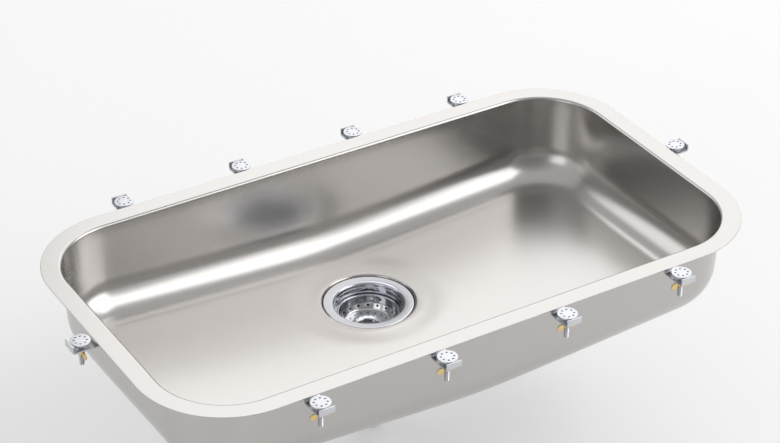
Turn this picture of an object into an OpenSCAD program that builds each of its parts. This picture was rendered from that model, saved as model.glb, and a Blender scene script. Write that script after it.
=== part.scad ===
// Undermount kitchen sink: one drawn steel bowl with a flat flange, a basket strainer with its
// lift-out basket and stopper, the tailpiece below it, and the clips that hold the flange up.
// Millimetres. The origin is the centre of the bowl's opening, in the plane of the flange's top.
// +X runs along the sink, +Y to its back and +Z up.

/* [Bowl] */
// Length of the opening, left to right
bowl_l = 756; // [640:1:860]
// Width of the opening, front to back
bowl_w = 400; // [370:1:450]
// Corner radius of the opening
corner_r = 87; // [70:1:110]
// Depth of the floor beside the drain
bowl_depth = 132.3; // [115:0.1:230]
// Thickness of the drawn sheet
sheet_t = 1.2; // [0.9:0.1:1.6]
// Width of the flat flange round the opening
flange_w = 25; // [20:1:32]
// Radius of the bend from flange to wall
bend_r = 4; // [3:0.5:6]
// Radius of the sweep from wall to floor
sweep_r = 42; // [25:1:50]
// How far a wall leans in from its top to its foot
wall_lean = 3; // [1:0.5:6]
// Fall of the floor along the sink, as a share of the distance
fall_long_share = 0.062; // [0.01:0.002:0.07]
// Fall of the floor across the sink, as a share of the distance
fall_cross_share = 0.03; // [0.005:0.001:0.04]
// Softness of the valley that runs through the drain
valley_w = 45; // [30:1:70]

/* [Drain recess] */
// Distance of the drain behind the middle of the bowl
drain_y = 65; // [30:1:70]
// Radius of the pressed recess that takes the strainer's flange
recess_r = 58; // [57.8:0.1:60]
// Depth of the recess
recess_depth = 6; // [5:0.1:7]
// Radius of the recess's upper edge
recess_edge_r = 2.8; // [2:0.1:3.5]
// Radius of the recess's lower corner
recess_corner_r = 1; // [0.5:0.1:1.5]
// Radius of the drain hole
hole_r = 45.5; // [45.2:0.1:47]
// Width over which the floor levels out round the recess
apron_w = 40; // [25:1:45]

/* [Sound pads] */
// Share of the floor's length beside the drain that each pad covers
pad_long_share = 0.84; // [0.5:0.01:0.9]
// Width of each pad across the sink
pad_w = 220; // [100:1:240]
// Corner radius of a pad
pad_corner_r = 18; // [8:1:30]
// Thickness of a pad
pad_t = 3; // [1.5:0.5:5]
// Distance from the drain's centre to a pad's near edge
pad_from_drain = 114; // [110:1:124]
// Glue gap between pad and bowl
pad_gap = 0.2; // [0.15:0.05:0.3]

/* [Strainer body] */
// Radius of the chrome flange
body_flange_r = 57.15; // [56:0.05:57.5]
// Thickness of the chrome flange at its edge
body_flange_t = 3.6; // [3:0.1:4.2]
// How far the chrome flange slopes down towards the throat
body_flange_dish = 1.4; // [0.5:0.1:1.8]
// Thickness of the bedding ring under the chrome flange
bed_t = 0.5; // [0.3:0.1:1]
// Radius of the throat just below the flange
throat_r = 43.4; // [43.2:0.05:43.5]
// Radius of the bend from the flange into the throat
throat_bend_r = 3.2; // [1.5:0.1:3.4]
// How far each length of the throat leans in
throat_lean = 0.15; // [0.05:0.05:0.2]
// Width of each small ledge in the throat
ledge_w = 0.7; // [0.4:0.05:0.8]
// Depth of the upper ledge below the flange
upper_ledge_depth = 6.5; // [5:0.1:9]
// Depth of the lower ledge below the flange
lower_ledge_depth = 12.7; // [11:0.1:15]
// Outer radius of the threaded barrel
barrel_r = 44.3; // [44.2:0.05:44.8]
// Length of the barrel below the flange
barrel_len = 20; // [19:0.5:26]
// Depth of the basket's seat below the flange
seat_depth = 16.7; // [15.5:0.1:17.7]
// Inner radius of the lower cup
cup_r = 38.3; // [38:0.1:38.6]
// Wall thickness of the lower cup
cup_wall = 2; // [1.5:0.1:2.6]
// Depth of the cup's floor, where the stopper seals
cup_depth = 60.3; // [60:0.1:64]
// Radius between the cup's wall and floor
cup_fillet_r = 7; // [4:0.5:9]
// Inner radius of the outlet
outlet_r = 19.6; // [19:0.1:20.4]
// Outer radius of the outlet's thread
outlet_thread_r = 23.4; // [22.9:0.1:24]
// Length of the outlet below the cup's floor
outlet_len = 19; // [18:0.5:24]
// Width of each bar across the outlet
bar_w = 3; // [2.5:0.1:4]
// Height of each bar across the outlet
bar_h = 4; // [3:0.5:5]
// Depth of the bars below the cup's floor
bar_drop = 9; // [8:0.5:11]
// Radius of the guide eye where the bars cross
eye_r = 6.5; // [6:0.1:8]

/* [Under-sink fittings] */
// Width of the rubber gasket's ring
gasket_w = 10.5; // [8:0.1:11]
// Thickness of the rubber gasket
gasket_t = 3.5; // [2.5:0.5:4]
// Thickness of the fibre washer
fibre_t = 1; // [0.6:0.1:1.5]
// Height of the lock nut
lock_nut_h = 10; // [8:0.5:11]
// Wall of the lock nut's ring
lock_nut_wall = 5; // [4:0.5:7]
// Thickness of the lock nut's collar
lock_collar_t = 2.5; // [2:0.1:3.5]
// Reach of the lock nut's lugs beyond its ring
lug_reach = 6; // [4:0.5:7]
// Width of a lug
lug_w = 7; // [5:0.5:9]
// Number of lugs
lug_count = 8; // [6:1:10]
// Outer radius of the tailpiece
tail_r = 19.05; // [18.5:0.05:19.3]
// Wall of the tailpiece
tail_wall = 1.3; // [0.9:0.1:1.6]
// Length of the tailpiece
tail_len = 102; // [80:1:150]
// How far the tube is drawn in below its flange
tail_neck = 0.25; // [0.1:0.05:0.4]
// Length of the drawn-in part, with the flange
tail_neck_l = 7; // [6:0.5:9]
// Thickness of the seal between outlet and tailpiece
tail_seal_t = 2; // [1.5:0.1:3]
// Height of the coupling nut
coupling_h = 19; // [17:0.5:21]
// Wall of the coupling nut at its flats
coupling_wall = 3.6; // [3:0.1:5]
// Thickness of the coupling nut's lower lip
coupling_lip_t = 2.5; // [2:0.1:3.5]

/* [Basket] */
// Clearance between the basket's wall and the cup
basket_clear = 0.5; // [0.4:0.1:0.8]
// Thickness of the basket's sheet
basket_t = 0.8; // [0.6:0.1:1]
// Reach of the beaded rim beyond the wall
rim_w = 1.5; // [1.3:0.1:1.9]
// Height of the basket's upright wall
basket_wall_h = 9; // [7:0.5:10]
// How far the upright wall leans in
basket_wall_lean = 0.4; // [0.2:0.1:0.8]
// Width of the sloping band below the wall
band_w = 4.4; // [3.5:0.1:5.5]
// Height of the sloping band
band_h = 7.6; // [6.5:0.1:8.5]
// Radius where the wall turns into the band
band_bend_r = 4; // [2:0.5:6]
// Drop of the basket's floor from the band to the well
floor_drop = 2; // [1:0.1:3]
// Radius where the band turns into the floor
floor_bend_r = 3; // [1.5:0.5:4]
// Radius of the well round the knob
well_r = 14.5; // [13.5:0.1:16]
// Depth of the well
well_depth = 7; // [6:0.1:7.5]
// How far the well's wall leans in
well_lean = 1; // [0.5:0.1:1.5]
// Radius of the well's two bends
well_bend_r = 1.6; // [1:0.1:2.2]
// Number of holes in each row
hole_count = 18; // [12:1:20]
// Radius of the holes in the outer row
big_hole_r = 1.6; // [1:0.1:2]
// Radius of the holes in the inner row
small_hole_r = 1.1; // [0.8:0.1:1.4]
// Radius of the circle that the inner row lies on
small_row_r = 25.9; // [22:0.1:28]
// Place of the outer row on the sloping band, as a share of its height
big_row_share = 0.37; // [0.3:0.01:0.6]

/* [Stopper] */
// Radius of the stem
stem_r = 3; // [2.6:0.1:3.4]
// Running clearance of the stem in its hub
stem_clear = 0.08; // [0.04:0.01:0.1]
// Radius of the hub
hub_r = 6.5; // [6:0.1:7.5]
// Radius of the hub's waist, where it passes the basket's floor
hub_waist_r = 4.8; // [4.6:0.1:5.4]
// Height of the hub above the basket's floor
hub_up = 0.8; // [0.6:0.1:1.2]
// Height of the hub below the basket's floor
hub_down = 2.4; // [2.2:0.1:3]
// Radius of the rubber ring's cord, which grips the stem
grip_cord_r = 0.5; // [0.4:0.05:0.6]
// Radius of the knob
knob_r = 9.3; // [8:0.1:10]
// Thickness of the knob's head
knob_head_t = 2.2; // [2:0.1:3]
// Height of the knob
knob_h = 5; // [4.5:0.1:6]
// Radius of the knob's neck
knob_neck_r = 4.6; // [4.4:0.1:5.5]
// Depth of the knob's dished top
knob_dish = 0.3; // [0.1:0.05:0.6]
// Radius of the rubber stopper
stopper_r = 27; // [24:0.5:29]
// Thickness of the rubber stopper
stopper_t = 4; // [3:0.5:4.5]
// Radius of the steel washer on the stopper
stopper_washer_r = 15; // [11:0.5:18]
// Thickness of the steel washer on the stopper
stopper_washer_t = 1; // [0.8:0.1:1.4]
// Radius of the stem's collar, which bears on the steel washer
collar_r = 4.8; // [4.2:0.1:5.5]
// Height of the stem's collar
collar_h = 1.2; // [0.8:0.1:1.6]
// Radius of the nut under the stopper, over its corners
stem_nut_r = 6.2; // [5.6:0.1:7]
// Height of the nut under the stopper
stem_nut_h = 3.2; // [2.6:0.1:4]
// Reach of the stem into the guide eye
stem_reach = 5; // [3:0.5:7]
// Gap of the seated stopper over the cup's floor
seal_gap = 0.1; // [0.05:0.05:0.3]

/* [Clips] */
// Places of the clips along each long side, as shares of its straight half
clip_long_shares = [-0.84, -0.28, 0.28, 0.84];
// Places of the clips along each short side, as shares of its straight half
clip_short_shares = [0];
// Width of a clip
clip_w = 20; // [14:1:26]
// Thickness of the clip's strip
clip_t = 2; // [1.5:0.1:2.5]
// Depth of the clip's run below the flange's underside
clip_drop = 7; // [5:0.5:9]
// Distance from the opening to the clip's toe
toe_from_opening = 12; // [8:1:14]
// Length of the clip's toe
toe_l = 6; // [4:0.5:7]
// Inner radius of the clip's bends
clip_bend_r = 1.5; // [1:0.1:2]
// Distance from the flange's edge to the stud
stud_from_flange = 14; // [14:0.5:17]
// Radius of the stud
stud_r = 3; // [2.5:0.5:3.5]
// Length of the stud
stud_l = 32; // [28:1:40]
// Radius of the stud's glue plate
plate_r = 12; // [11:0.5:13]
// Thickness of the glue plate
plate_t = 1.5; // [1:0.1:2]
// Radius of each glue hole in the plate
glue_hole_r = 1.4; // [1:0.1:1.6]
// Number of glue holes
glue_hole_count = 8; // [4:1:8]
// Length of the clip's slot, end to end
slot_l = 13; // [10:0.5:15]
// Radius of the clip washer
clip_washer_r = 8; // [7.5:0.5:9]
// Thickness of the clip washer
clip_washer_t = 1.2; // [0.8:0.1:1.6]
// Radius of the wing nut's body at its face
wing_body_r = 5.4; // [5:0.1:6.5]
// Height of the wing nut's body
wing_body_h = 7; // [6:0.5:9]
// Span of the wing nut, tip to tip
wing_span = 27; // [24:1:32]
// Thickness of a wing
wing_t = 2.2; // [1.6:0.1:3]
// Radius of a wing's round tip
wing_tip_r = 4.4; // [3.5:0.1:5]

/* [Hidden] */

$fn = 96;
// Overrun of every cut past the face that it opens
over = 0.5;
// Gap between screwed pieces, crest to crest
thread_gap = 0.15;
// Gap between pieces that only pass each other
pass_gap = 0.6;
// Steps of each rounded corner of a turned or folded outline
bend_steps = 5;
// Steps of the bowl's outline: a corner, a long side and a short side
corner_steps = 9;
long_steps = 16;
short_steps = 8;
// Steps of the sweep from wall to floor
sweep_steps = 7;
// Steps of the flange's bend and of the recess's edges
edge_steps = 3;
// Steps of each straight edge of a sound pad
pad_steps = 6;
// Rings of the floor from the sweep's foot to the recess, as shares of the way
floor_shares = [0.12, 0.28, 0.46, 0.64, 0.8, 0.91, 1];
// Rings of a sound pad, as shares of its outline
pad_shares = [1, 0.7, 0.4, 0.12];

straight_x = bowl_l / 2 - corner_r;
straight_y = bowl_w / 2 - corner_r;
ring_count = 4 * (corner_steps + 1) + 2 * (long_steps - 1) + 2 * (short_steps - 1);
foot_inset = wall_lean + sweep_r;
pad_l = pad_long_share * (bowl_l / 2 - foot_inset - pad_from_drain);
recess_rim_r = recess_r + recess_edge_r;

// Heights of the drain's pieces, each from the one that it rests on
recess_z = -bowl_depth - recess_depth;
flange_top_z = recess_z + bed_t + body_flange_t;
gasket_under_z = recess_z - sheet_t - gasket_t;
fibre_under_z = gasket_under_z - fibre_t;
lock_nut_under_z = fibre_under_z - lock_nut_h;
seat_z = flange_top_z - seat_depth;
cup_floor_z = flange_top_z - cup_depth;
outlet_end_z = cup_floor_z - outlet_len;
tail_top_z = outlet_end_z - tail_seal_t;
bar_top_z = cup_floor_z - bar_drop;

// Radii and heights of the basket's inner face
wall_top_r = cup_r - basket_clear - basket_t;
wall_foot_r = wall_top_r - basket_wall_lean;
wall_foot_z = seat_z - basket_wall_h;
band_foot_r = wall_foot_r - band_w;
band_foot_z = wall_foot_z - band_h;
well_top_z = band_foot_z - floor_drop;
well_floor_z = well_top_z - well_depth;

hub_under_z = well_floor_z - basket_t - hub_down;
knob_under_z = well_floor_z + hub_up;
stopper_under_z = cup_floor_z + seal_gap;
stopper_top_z = stopper_under_z + stopper_t;
collar_under_z = stopper_top_z + stopper_washer_t;
stem_top_z = knob_under_z + knob_h - knob_head_t;
stem_end_z = bar_top_z - stem_reach;

stud_u = flange_w + stud_from_flange;
clip_top_z = -sheet_t - clip_drop;
clip_under_z = clip_top_z - clip_t;
nut_top_z = clip_under_z - clip_washer_t;

function arc(cx, cy, r, from, to, steps = bend_steps) = [
    for (k = [0 : steps]) let (a = from + (to - from) * k / steps)
        [cx + r * cos(a), cy + r * sin(a)]
];
function between(a, b, steps) = [for (k = [1 : steps - 1]) a + (b - a) * k / steps];
function reversed(list) = [for (k = [len(list) - 1 : -1 : 0]) list[k]];

// Rectangle of half sizes x and y, grown by r and rounded by it, in even steps
function round_rect(x, y, r, corner, along, across) = concat(
    arc(x, y, r, 0, 90, corner),
    between([x, y + r], [-x, y + r], along),
    arc(-x, y, r, 90, 180, corner),
    between([-x - r, y], [-x - r, -y], across),
    arc(-x, -y, r, 180, 270, corner),
    between([-x, -y - r], [x, -y - r], along),
    arc(x, -y, r, 270, 360, corner),
    between([x + r, -y], [x + r, y], across)
);

// Outlines are lists of corners, each a point and the radius that rounds it
function point(c) = [c[0], c[1]];
function unit(v) = v / norm(v);
function round_corner(a, p, c, r) =
    let (
        u = unit(a - p), v = unit(c - p), half = acos(u * v) / 2, swing = 180 - 2 * half,
        centre = p + unit(u + v) * r / sin(half),
        first = p + u * r / tan(half) - centre, last = p + v * r / tan(half) - centre
    )
    [for (k = [0 : bend_steps]) let (t = k / bend_steps)
        centre + (first * sin(swing * (1 - t)) + last * sin(swing * t)) / sin(swing)];
function rounded(corners) = [
    for (k = [0 : len(corners) - 1]) let (c = corners[k])
        each c[2] == 0 ? [point(c)]
            : round_corner(point(corners[k - 1]), point(c), point(corners[k + 1]), c[2])
];

// The same outline moved by t to the right of its way, with its bends kept concentric
function right_of(a, b) = let (d = unit(b - a)) [d[1], -d[0]];
function moved(corners, t) = let (last = len(corners) - 1) [
    for (k = [0 : last])
        let (
            c = corners[k],
            before = right_of(point(corners[max(k - 1, 0)]), point(corners[max(k, 1)])),
            after = right_of(point(corners[min(k, last - 1)]), point(corners[min(k + 1, last)])),
            to = point(c) + (before + after) * t / (1 + before * after)
        )
        [to[0], to[1], c[2] == 0 ? 0 : c[2] + t * sign(cross(before, after))]
];

// Outline of a sheet that follows the corners and lies t to their right
function sheet(corners, t) = concat(rounded(corners), reversed(rounded(moved(corners, t))));

// Height of the floor: two slopes that meet in a soft valley and level out round the recess
function soft(d) = sqrt(d * d + valley_w * valley_w) - valley_w;
function rise(x, y) = fall_long_share * soft(x) + fall_cross_share * soft(y - drain_y);
function ease(t) = let (c = min(1, max(0, t))) c * c * (3 - 2 * c);
function floor_z(x, y) =
    rise(x, y) * ease((norm([x, y - drain_y]) - recess_rim_r) / apron_w) - bowl_depth;

// Rings of the bowl's sheet, each with as many points as the opening's outline
function opening(inset) = round_rect(
    straight_x, straight_y, corner_r - inset, corner_steps, long_steps, short_steps);
function wall_ring(inset, z) = [for (p = opening(inset)) [p[0], p[1], z]];
function sweep_ring(inset, h) =
    [for (p = opening(inset)) [p[0], p[1], floor_z(p[0], p[1]) + h]];
function drain_point(k, r) =
    let (a = 360 * (k + short_steps / 2) / ring_count)
    [r * cos(a), drain_y + r * sin(a)];
function floor_ring(share, down) =
    let (foot = opening(foot_inset))
    [for (k = [0 : ring_count - 1])
        let (p = foot[k] * (1 - share) + drain_point(k, recess_rim_r) * share)
            [p[0], p[1], floor_z(p[0], p[1]) - down]];
function drain_ring(r, z) =
    [for (k = [0 : ring_count - 1]) let (p = drain_point(k, r)) [p[0], p[1], z]];

// One face of the sheet, from the flange's edge to the drain hole, at depth d in the metal
function face(d) = concat(
    [wall_ring(-flange_w, -d)],
    [for (p = arc(-bend_r, -bend_r, bend_r - d, 90, 0, edge_steps)) wall_ring(p[0], p[1])],
    [for (k = [0 : sweep_steps]) let (a = 90 * k / sweep_steps)
        sweep_ring(foot_inset - (sweep_r + d) * cos(a), sweep_r - (sweep_r + d) * sin(a))],
    [for (share = floor_shares) floor_ring(share, d)],
    [for (k = [1 : edge_steps]) let (a = 90 - 90 * k / edge_steps)
        drain_ring(recess_rim_r - (recess_edge_r - d) * cos(a),
            (recess_edge_r - d) * sin(a) - bowl_depth - recess_edge_r)],
    [for (k = [0 : edge_steps]) let (a = 90 * k / edge_steps)
        drain_ring(recess_r - recess_corner_r + (recess_corner_r + d) * cos(a),
            recess_z + recess_corner_r - (recess_corner_r + d) * sin(a))],
    [drain_ring(hole_r - over, recess_z - d)]
);

// Closed skin through a loop of rings that all have as many points
module ring_loop(rings) {
    n = len(rings[0]);
    m = len(rings);
    polyhedron(
        points = [for (r = rings) each r],
        faces = [
            for (k = [0 : m - 1]) for (i = [0 : n - 1])
                let (a = k * n + i, b = k * n + (i + 1) % n,
                    c = (k + 1) % m * n + (i + 1) % n, d = (k + 1) % m * n + i)
                each [[a, c, b], [a, d, c]]
        ]
    );
}

module bowl() color("silver") difference() {
    ring_loop(concat(face(0), reversed(face(sheet_t))));
    translate([0, drain_y, recess_z - sheet_t - over])
        cylinder(r = hole_r, h = sheet_t + 2 * over);
}

// Pad that follows the underside of the sloping floor; side is 1 for right and -1 for left
function pad_ring(side, share, down) =
    let (r = pad_corner_r, mid_x = side * (pad_from_drain + pad_l / 2))
    [for (p = round_rect(pad_l / 2 - r, pad_w / 2 - r, r, bend_steps, pad_steps, pad_steps))
        let (x = mid_x + p[0] * share, y = p[1] * share)
            [x, y, floor_z(x, y) - down]];
module sound_pad(side) {
    near = sheet_t + pad_gap;
    rings = concat(
        [for (share = reversed(pad_shares)) pad_ring(side, share, near)],
        [for (share = pad_shares) pad_ring(side, share, near + pad_t)]
    );
    middles = [for (down = [near, near + pad_t]) pad_ring(side, 0, down)[0]];
    n = len(rings[0]);
    m = len(rings);
    end = (m - 1) * n;
    color("dimgray") polyhedron(
        points = concat([for (r = rings) each r], middles),
        faces = concat(
            [for (i = [0 : n - 1]) [m * n, (i + 1) % n, i]],
            [for (i = [0 : n - 1]) [m * n + 1, end + i, end + (i + 1) % n]],
            [for (k = [0 : m - 2]) for (i = [0 : n - 1])
                let (a = k * n + i, b = k * n + (i + 1) % n)
                each [[a, b, b + n], [a, b + n, a + n]]]
        )
    );
}

// Pieces turned about the drain's axis
module turned(points) translate([0, drain_y, 0]) rotate_extrude() polygon(points);
module washer(r_in, r_out, z, t) translate([0, drain_y, z]) difference() {
    cylinder(r = r_out, h = t);
    translate([0, 0, -over]) cylinder(r = r_in, h = t + 2 * over);
}

module bedding_ring() color("gainsboro")
    washer(hole_r, body_flange_r - recess_corner_r, recess_z, bed_t);

// Cast cup with a chrome flange, a stepped throat, the basket's seat and a threaded outlet
module strainer_body() {
    top = flange_top_z;
    lip_r = body_flange_t / 3;
    foot_z = cup_floor_z - cup_wall;
    barrel_end_z = top - body_flange_t - barrel_len;
    ledge_depths = [upper_ledge_depth, lower_ledge_depth];
    step = throat_lean + ledge_w;
    profile = rounded(concat(
        [
            [barrel_r, top - body_flange_t, 0],
            [body_flange_r, top - body_flange_t, lip_r],
            [body_flange_r, top, lip_r],
            [throat_r, top - body_flange_dish, throat_bend_r]
        ],
        [for (k = [0, 1]) each [
            [throat_r - throat_lean - k * step, top - ledge_depths[k], ledge_w / 3],
            [throat_r - (k + 1) * step, top - ledge_depths[k] - ledge_w / 2, ledge_w / 3]
        ]],
        [
            [throat_r - throat_lean - 2 * step, seat_z, 0],
            [cup_r, seat_z, 0],
            [cup_r, cup_floor_z, cup_fillet_r],
            [outlet_r, cup_floor_z, lip_r],
            [outlet_r, outlet_end_z, 0],
            [outlet_thread_r, outlet_end_z, 0],
            [outlet_thread_r, foot_z, lip_r],
            [cup_r + cup_wall, foot_z, cup_fillet_r + cup_wall],
            [cup_r + cup_wall, barrel_end_z - cup_wall, lip_r],
            [barrel_r, barrel_end_z, 0]
        ]
    ));
    color("lightgray") difference() {
        union() {
            turned(profile);
            translate([0, drain_y, bar_top_z - bar_h]) {
                for (a = [0, 90]) rotate(a) translate([-outlet_r - over, -bar_w / 2, 0])
                    cube([2 * (outlet_r + over), bar_w, bar_h]);
                cylinder(r = eye_r, h = bar_h);
            }
        }
        translate([0, drain_y, bar_top_z - bar_h - over])
            cylinder(r = stem_r + pass_gap, h = bar_h + 2 * over);
    }
}

module rubber_gasket() color("black")
    washer(hole_r, hole_r + gasket_w, gasket_under_z, gasket_t);

module fibre_washer() color("burlywood")
    washer(hole_r, hole_r + gasket_w, fibre_under_z, fibre_t);

module lock_nut() {
    bore_r = barrel_r + thread_gap;
    ring_r = bore_r + lock_nut_wall;
    color("darkgray") difference() {
        translate([0, drain_y, lock_nut_under_z]) {
            cylinder(r = ring_r, h = lock_nut_h);
            translate([0, 0, lock_nut_h - lock_collar_t])
                cylinder(r = ring_r + lug_reach, h = lock_collar_t);
            for (k = [0 : lug_count - 1]) rotate(360 * k / lug_count)
                translate([ring_r - over, -lug_w / 2, 0])
                    cube([lug_reach, lug_w, lock_nut_h - lock_collar_t / 2]);
        }
        translate([0, drain_y, lock_nut_under_z - over])
            cylinder(r = bore_r, h = lock_nut_h + 2 * over);
    }
}

module tailpiece_seal() color("white")
    washer(tail_r - tail_wall, outlet_thread_r - thread_gap, tail_top_z, tail_seal_t);

// Tube with a flange turned out at its top, drawn in a little where the nut sits
module tailpiece() {
    flange_r = outlet_thread_r - thread_gap;
    neck_z = tail_top_z - tail_neck_l;
    color("lightgray") turned(rounded([
        [flange_r, tail_top_z, 0],
        [tail_r - tail_wall, tail_top_z, tail_wall],
        [tail_r - tail_wall, tail_top_z - tail_len, 0],
        [tail_r, tail_top_z - tail_len, 0],
        [tail_r, neck_z, 0],
        [tail_r - tail_neck, neck_z + tail_neck, 0],
        [tail_r - tail_neck, tail_top_z - tail_wall, 0],
        [flange_r, tail_top_z - tail_wall, 0]
    ]));
}

module coupling_nut() {
    flat_r = outlet_thread_r + thread_gap + coupling_wall;
    color("darkgray") translate([0, drain_y, tail_top_z - tail_wall - coupling_lip_t])
        difference() {
            intersection() {
                cylinder(r = flat_r / cos(30), h = coupling_h, $fn = 6);
                cylinder(r = flat_r + coupling_wall / 2, h = coupling_h);
            }
            translate([0, 0, coupling_lip_t])
                cylinder(r = outlet_thread_r + thread_gap, h = coupling_h);
            translate([0, 0, -over]) cylinder(r = tail_r + thread_gap, h = coupling_h);
        }
}

// Stands its children beside the opening at each clip, with +X pointing out from the bowl
module at_clips() {
    for (side = [1, -1]) {
        for (share = clip_long_shares)
            translate([share * straight_x, side * bowl_w / 2, 0]) rotate(90 * side) children();
        for (share = clip_short_shares)
            translate([side * bowl_l / 2, share * straight_y, 0])
                rotate(90 - 90 * side) children();
    }
}

// Threaded stud on a drilled plate, glued to the underside of the worktop
module clip_studs() color("silver") at_clips() translate([stud_u, 0, 0]) difference() {
    union() {
        translate([0, 0, -plate_t]) cylinder(r = plate_r, h = plate_t);
        translate([0, 0, -plate_t - stud_l]) cylinder(r = stud_r, h = stud_l + plate_t / 2);
    }
    for (k = [0 : glue_hole_count - 1]) rotate(360 * (k + 1 / 2) / glue_hole_count)
        translate([(plate_r + stud_r) / 2, 0, -plate_t - over])
            cylinder(r = glue_hole_r, h = plate_t + 2 * over);
}

// Folded strip: its toe lifts the flange, its heel stands on the worktop outside the plate
module clips() {
    toe_end = toe_from_opening + toe_l;
    heel_u = stud_u + plate_r + pass_gap;
    strip = sheet([
        [toe_from_opening, -sheet_t, 0],
        [toe_end, -sheet_t, clip_bend_r + clip_t],
        [toe_end + clip_drop / 2, clip_top_z, clip_bend_r],
        [heel_u, clip_top_z, clip_bend_r],
        [heel_u, 0, 0]
    ], clip_t);
    slot_w = 2 * (stud_r + pass_gap);
    slot_end = (slot_l - slot_w) / 2;
    color("lightsteelblue") at_clips() difference() {
        rotate([90, 0, 0]) linear_extrude(height = clip_w, center = true) polygon(strip);
        translate([stud_u, 0, clip_under_z - over]) {
            for (end = [1, -1]) translate([end * slot_end, 0, 0])
                cylinder(r = slot_w / 2, h = clip_t + 2 * over);
            translate([-slot_end, -slot_w / 2, 0])
                cube([2 * slot_end, slot_w, clip_t + 2 * over]);
        }
    }
}

module clip_washers() color("silver") at_clips()
    translate([stud_u, 0, nut_top_z]) difference() {
        cylinder(r = clip_washer_r, h = clip_washer_t);
        translate([0, 0, -over])
            cylinder(r = stud_r + thread_gap, h = clip_washer_t + 2 * over);
    }

module wing_nuts() {
    wing_u = wing_span / 2 - wing_tip_r;
    root_u = stud_r + wing_t / 2;
    color("goldenrod") at_clips() translate([stud_u, 0, nut_top_z - wing_body_h]) difference() {
        union() {
            cylinder(r1 = wing_body_r - wing_t / 2, r2 = wing_body_r, h = wing_body_h);
            for (turn = [0, 180]) rotate(90 + turn) {
                translate([wing_u, wing_t / 2, wing_tip_r - wing_body_h / 2])
                    rotate([90, 0, 0]) cylinder(r = wing_tip_r, h = wing_t);
                translate([root_u, -wing_t / 2, 0]) cube([wing_u - root_u, wing_t, wing_tip_r]);
            }
        }
        translate([0, 0, -wing_body_h])
            cylinder(r = stud_r + thread_gap, h = 3 * wing_body_h);
    }
}

// Pressed basket: a beaded rim, an upright wall, two drilled bands and a well round the knob
module basket() {
    bead_r = (rim_w + basket_t) / 2;
    rim_r = wall_top_r + basket_t + rim_w;
    inner = [
        [wall_top_r, seat_z + bead_r, 0],
        [wall_foot_r, wall_foot_z, band_bend_r],
        [band_foot_r, band_foot_z, floor_bend_r],
        [well_r, well_top_z, well_bend_r],
        [well_r - well_lean, well_floor_z, well_bend_r],
        [hub_waist_r, well_floor_z, 0]
    ];
    outer = reversed(rounded(moved(inner, -basket_t)));
    big_row_r = wall_foot_r - band_w * big_row_share;
    big_row_z = wall_foot_z - band_h * big_row_share;
    drill_l = 4 * basket_t;
    color("gainsboro") difference() {
        turned(concat(
            rounded(inner),
            [for (p = outer) if (p[1] < seat_z) p],
            [[wall_top_r + basket_t, seat_z], [rim_r - bead_r / 2, seat_z]],
            arc(rim_r - bead_r, seat_z + bead_r, bead_r, -30, 160)
        ));
        translate([0, drain_y, 0]) for (k = [0 : hole_count - 1]) rotate(360 * k / hole_count) {
            translate([big_row_r, 0, big_row_z]) rotate([0, 90 + atan(band_w / band_h), 0])
                cylinder(r = big_hole_r, h = 2 * drill_l, center = true);
            translate([small_row_r, 0, band_foot_z - drill_l])
                cylinder(r = small_hole_r, h = 2 * drill_l);
        }
    }
}

// Two-headed bush riveted into the basket's floor, with a groove inside for the rubber ring
module basket_hub() {
    top = well_floor_z + hub_up;
    bore_r = stem_r + stem_clear;
    waist_r = hub_waist_r - pass_gap / 4;
    groove_r = bore_r + 2 * grip_cord_r + stem_clear;
    groove_z = hub_under_z + hub_down / 2;
    groove_half = grip_cord_r + thread_gap;
    color("silver") turned([
        [bore_r, top], [hub_r, top], [hub_r, well_floor_z], [waist_r, well_floor_z],
        [waist_r, well_floor_z - basket_t], [hub_r, well_floor_z - basket_t],
        [hub_r, hub_under_z], [bore_r, hub_under_z],
        [bore_r, groove_z - groove_half], [groove_r, groove_z - groove_half],
        [groove_r, groove_z + groove_half], [bore_r, groove_z + groove_half]
    ]);
}

module grip_ring() color("black")
    translate([0, drain_y, hub_under_z + hub_down / 2]) rotate_extrude()
        translate([stem_r + stem_clear + grip_cord_r, 0]) circle(r = grip_cord_r);

module knob() {
    top = knob_under_z + knob_h;
    head_z = top - knob_head_t;
    edge = knob_head_t / 3;
    color("gainsboro") difference() {
        turned(rounded([
            [0, top - knob_dish, 0], [knob_r - 2 * edge, top, edge / 2], [knob_r, top, edge],
            [knob_r, head_z, edge], [knob_neck_r, head_z, edge / 2],
            [knob_neck_r, knob_under_z, 0], [0, knob_under_z, 0]
        ]));
        translate([0, drain_y, knob_under_z - over])
            cylinder(r = stem_r + thread_gap, h = head_z - knob_under_z + over);
    }
}

// Stem with the collar that bears on the stopper's washer, and a tapered end
module stem() color("silver") turned([
    [0, stem_top_z], [stem_r, stem_top_z], [stem_r, collar_under_z + collar_h],
    [collar_r, collar_under_z + collar_h], [collar_r, collar_under_z],
    [stem_r, collar_under_z], [stem_r, stem_end_z + stem_r / 2],
    [stem_r / 2, stem_end_z], [0, stem_end_z]
]);

module stopper_washer() color("silver")
    washer(stem_r + thread_gap, stopper_washer_r, stopper_top_z, stopper_washer_t);

// Rubber disc with a rounded sealing edge and a shallow groove underneath
module stopper() {
    edge = stopper_t / 4;
    color("black") turned(rounded([
        [stem_r + thread_gap, stopper_top_z, 0],
        [stopper_washer_r + edge, stopper_top_z, edge],
        [stopper_r, stopper_top_z - 2 * edge, edge],
        [stopper_r, stopper_under_z, edge / 2],
        [outlet_r + 2 * edge, stopper_under_z, 0],
        [outlet_r, stopper_under_z + edge, 0],
        [outlet_r - 2 * edge, stopper_under_z, 0],
        [stem_r + thread_gap, stopper_under_z, 0]
    ]));
}

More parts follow.
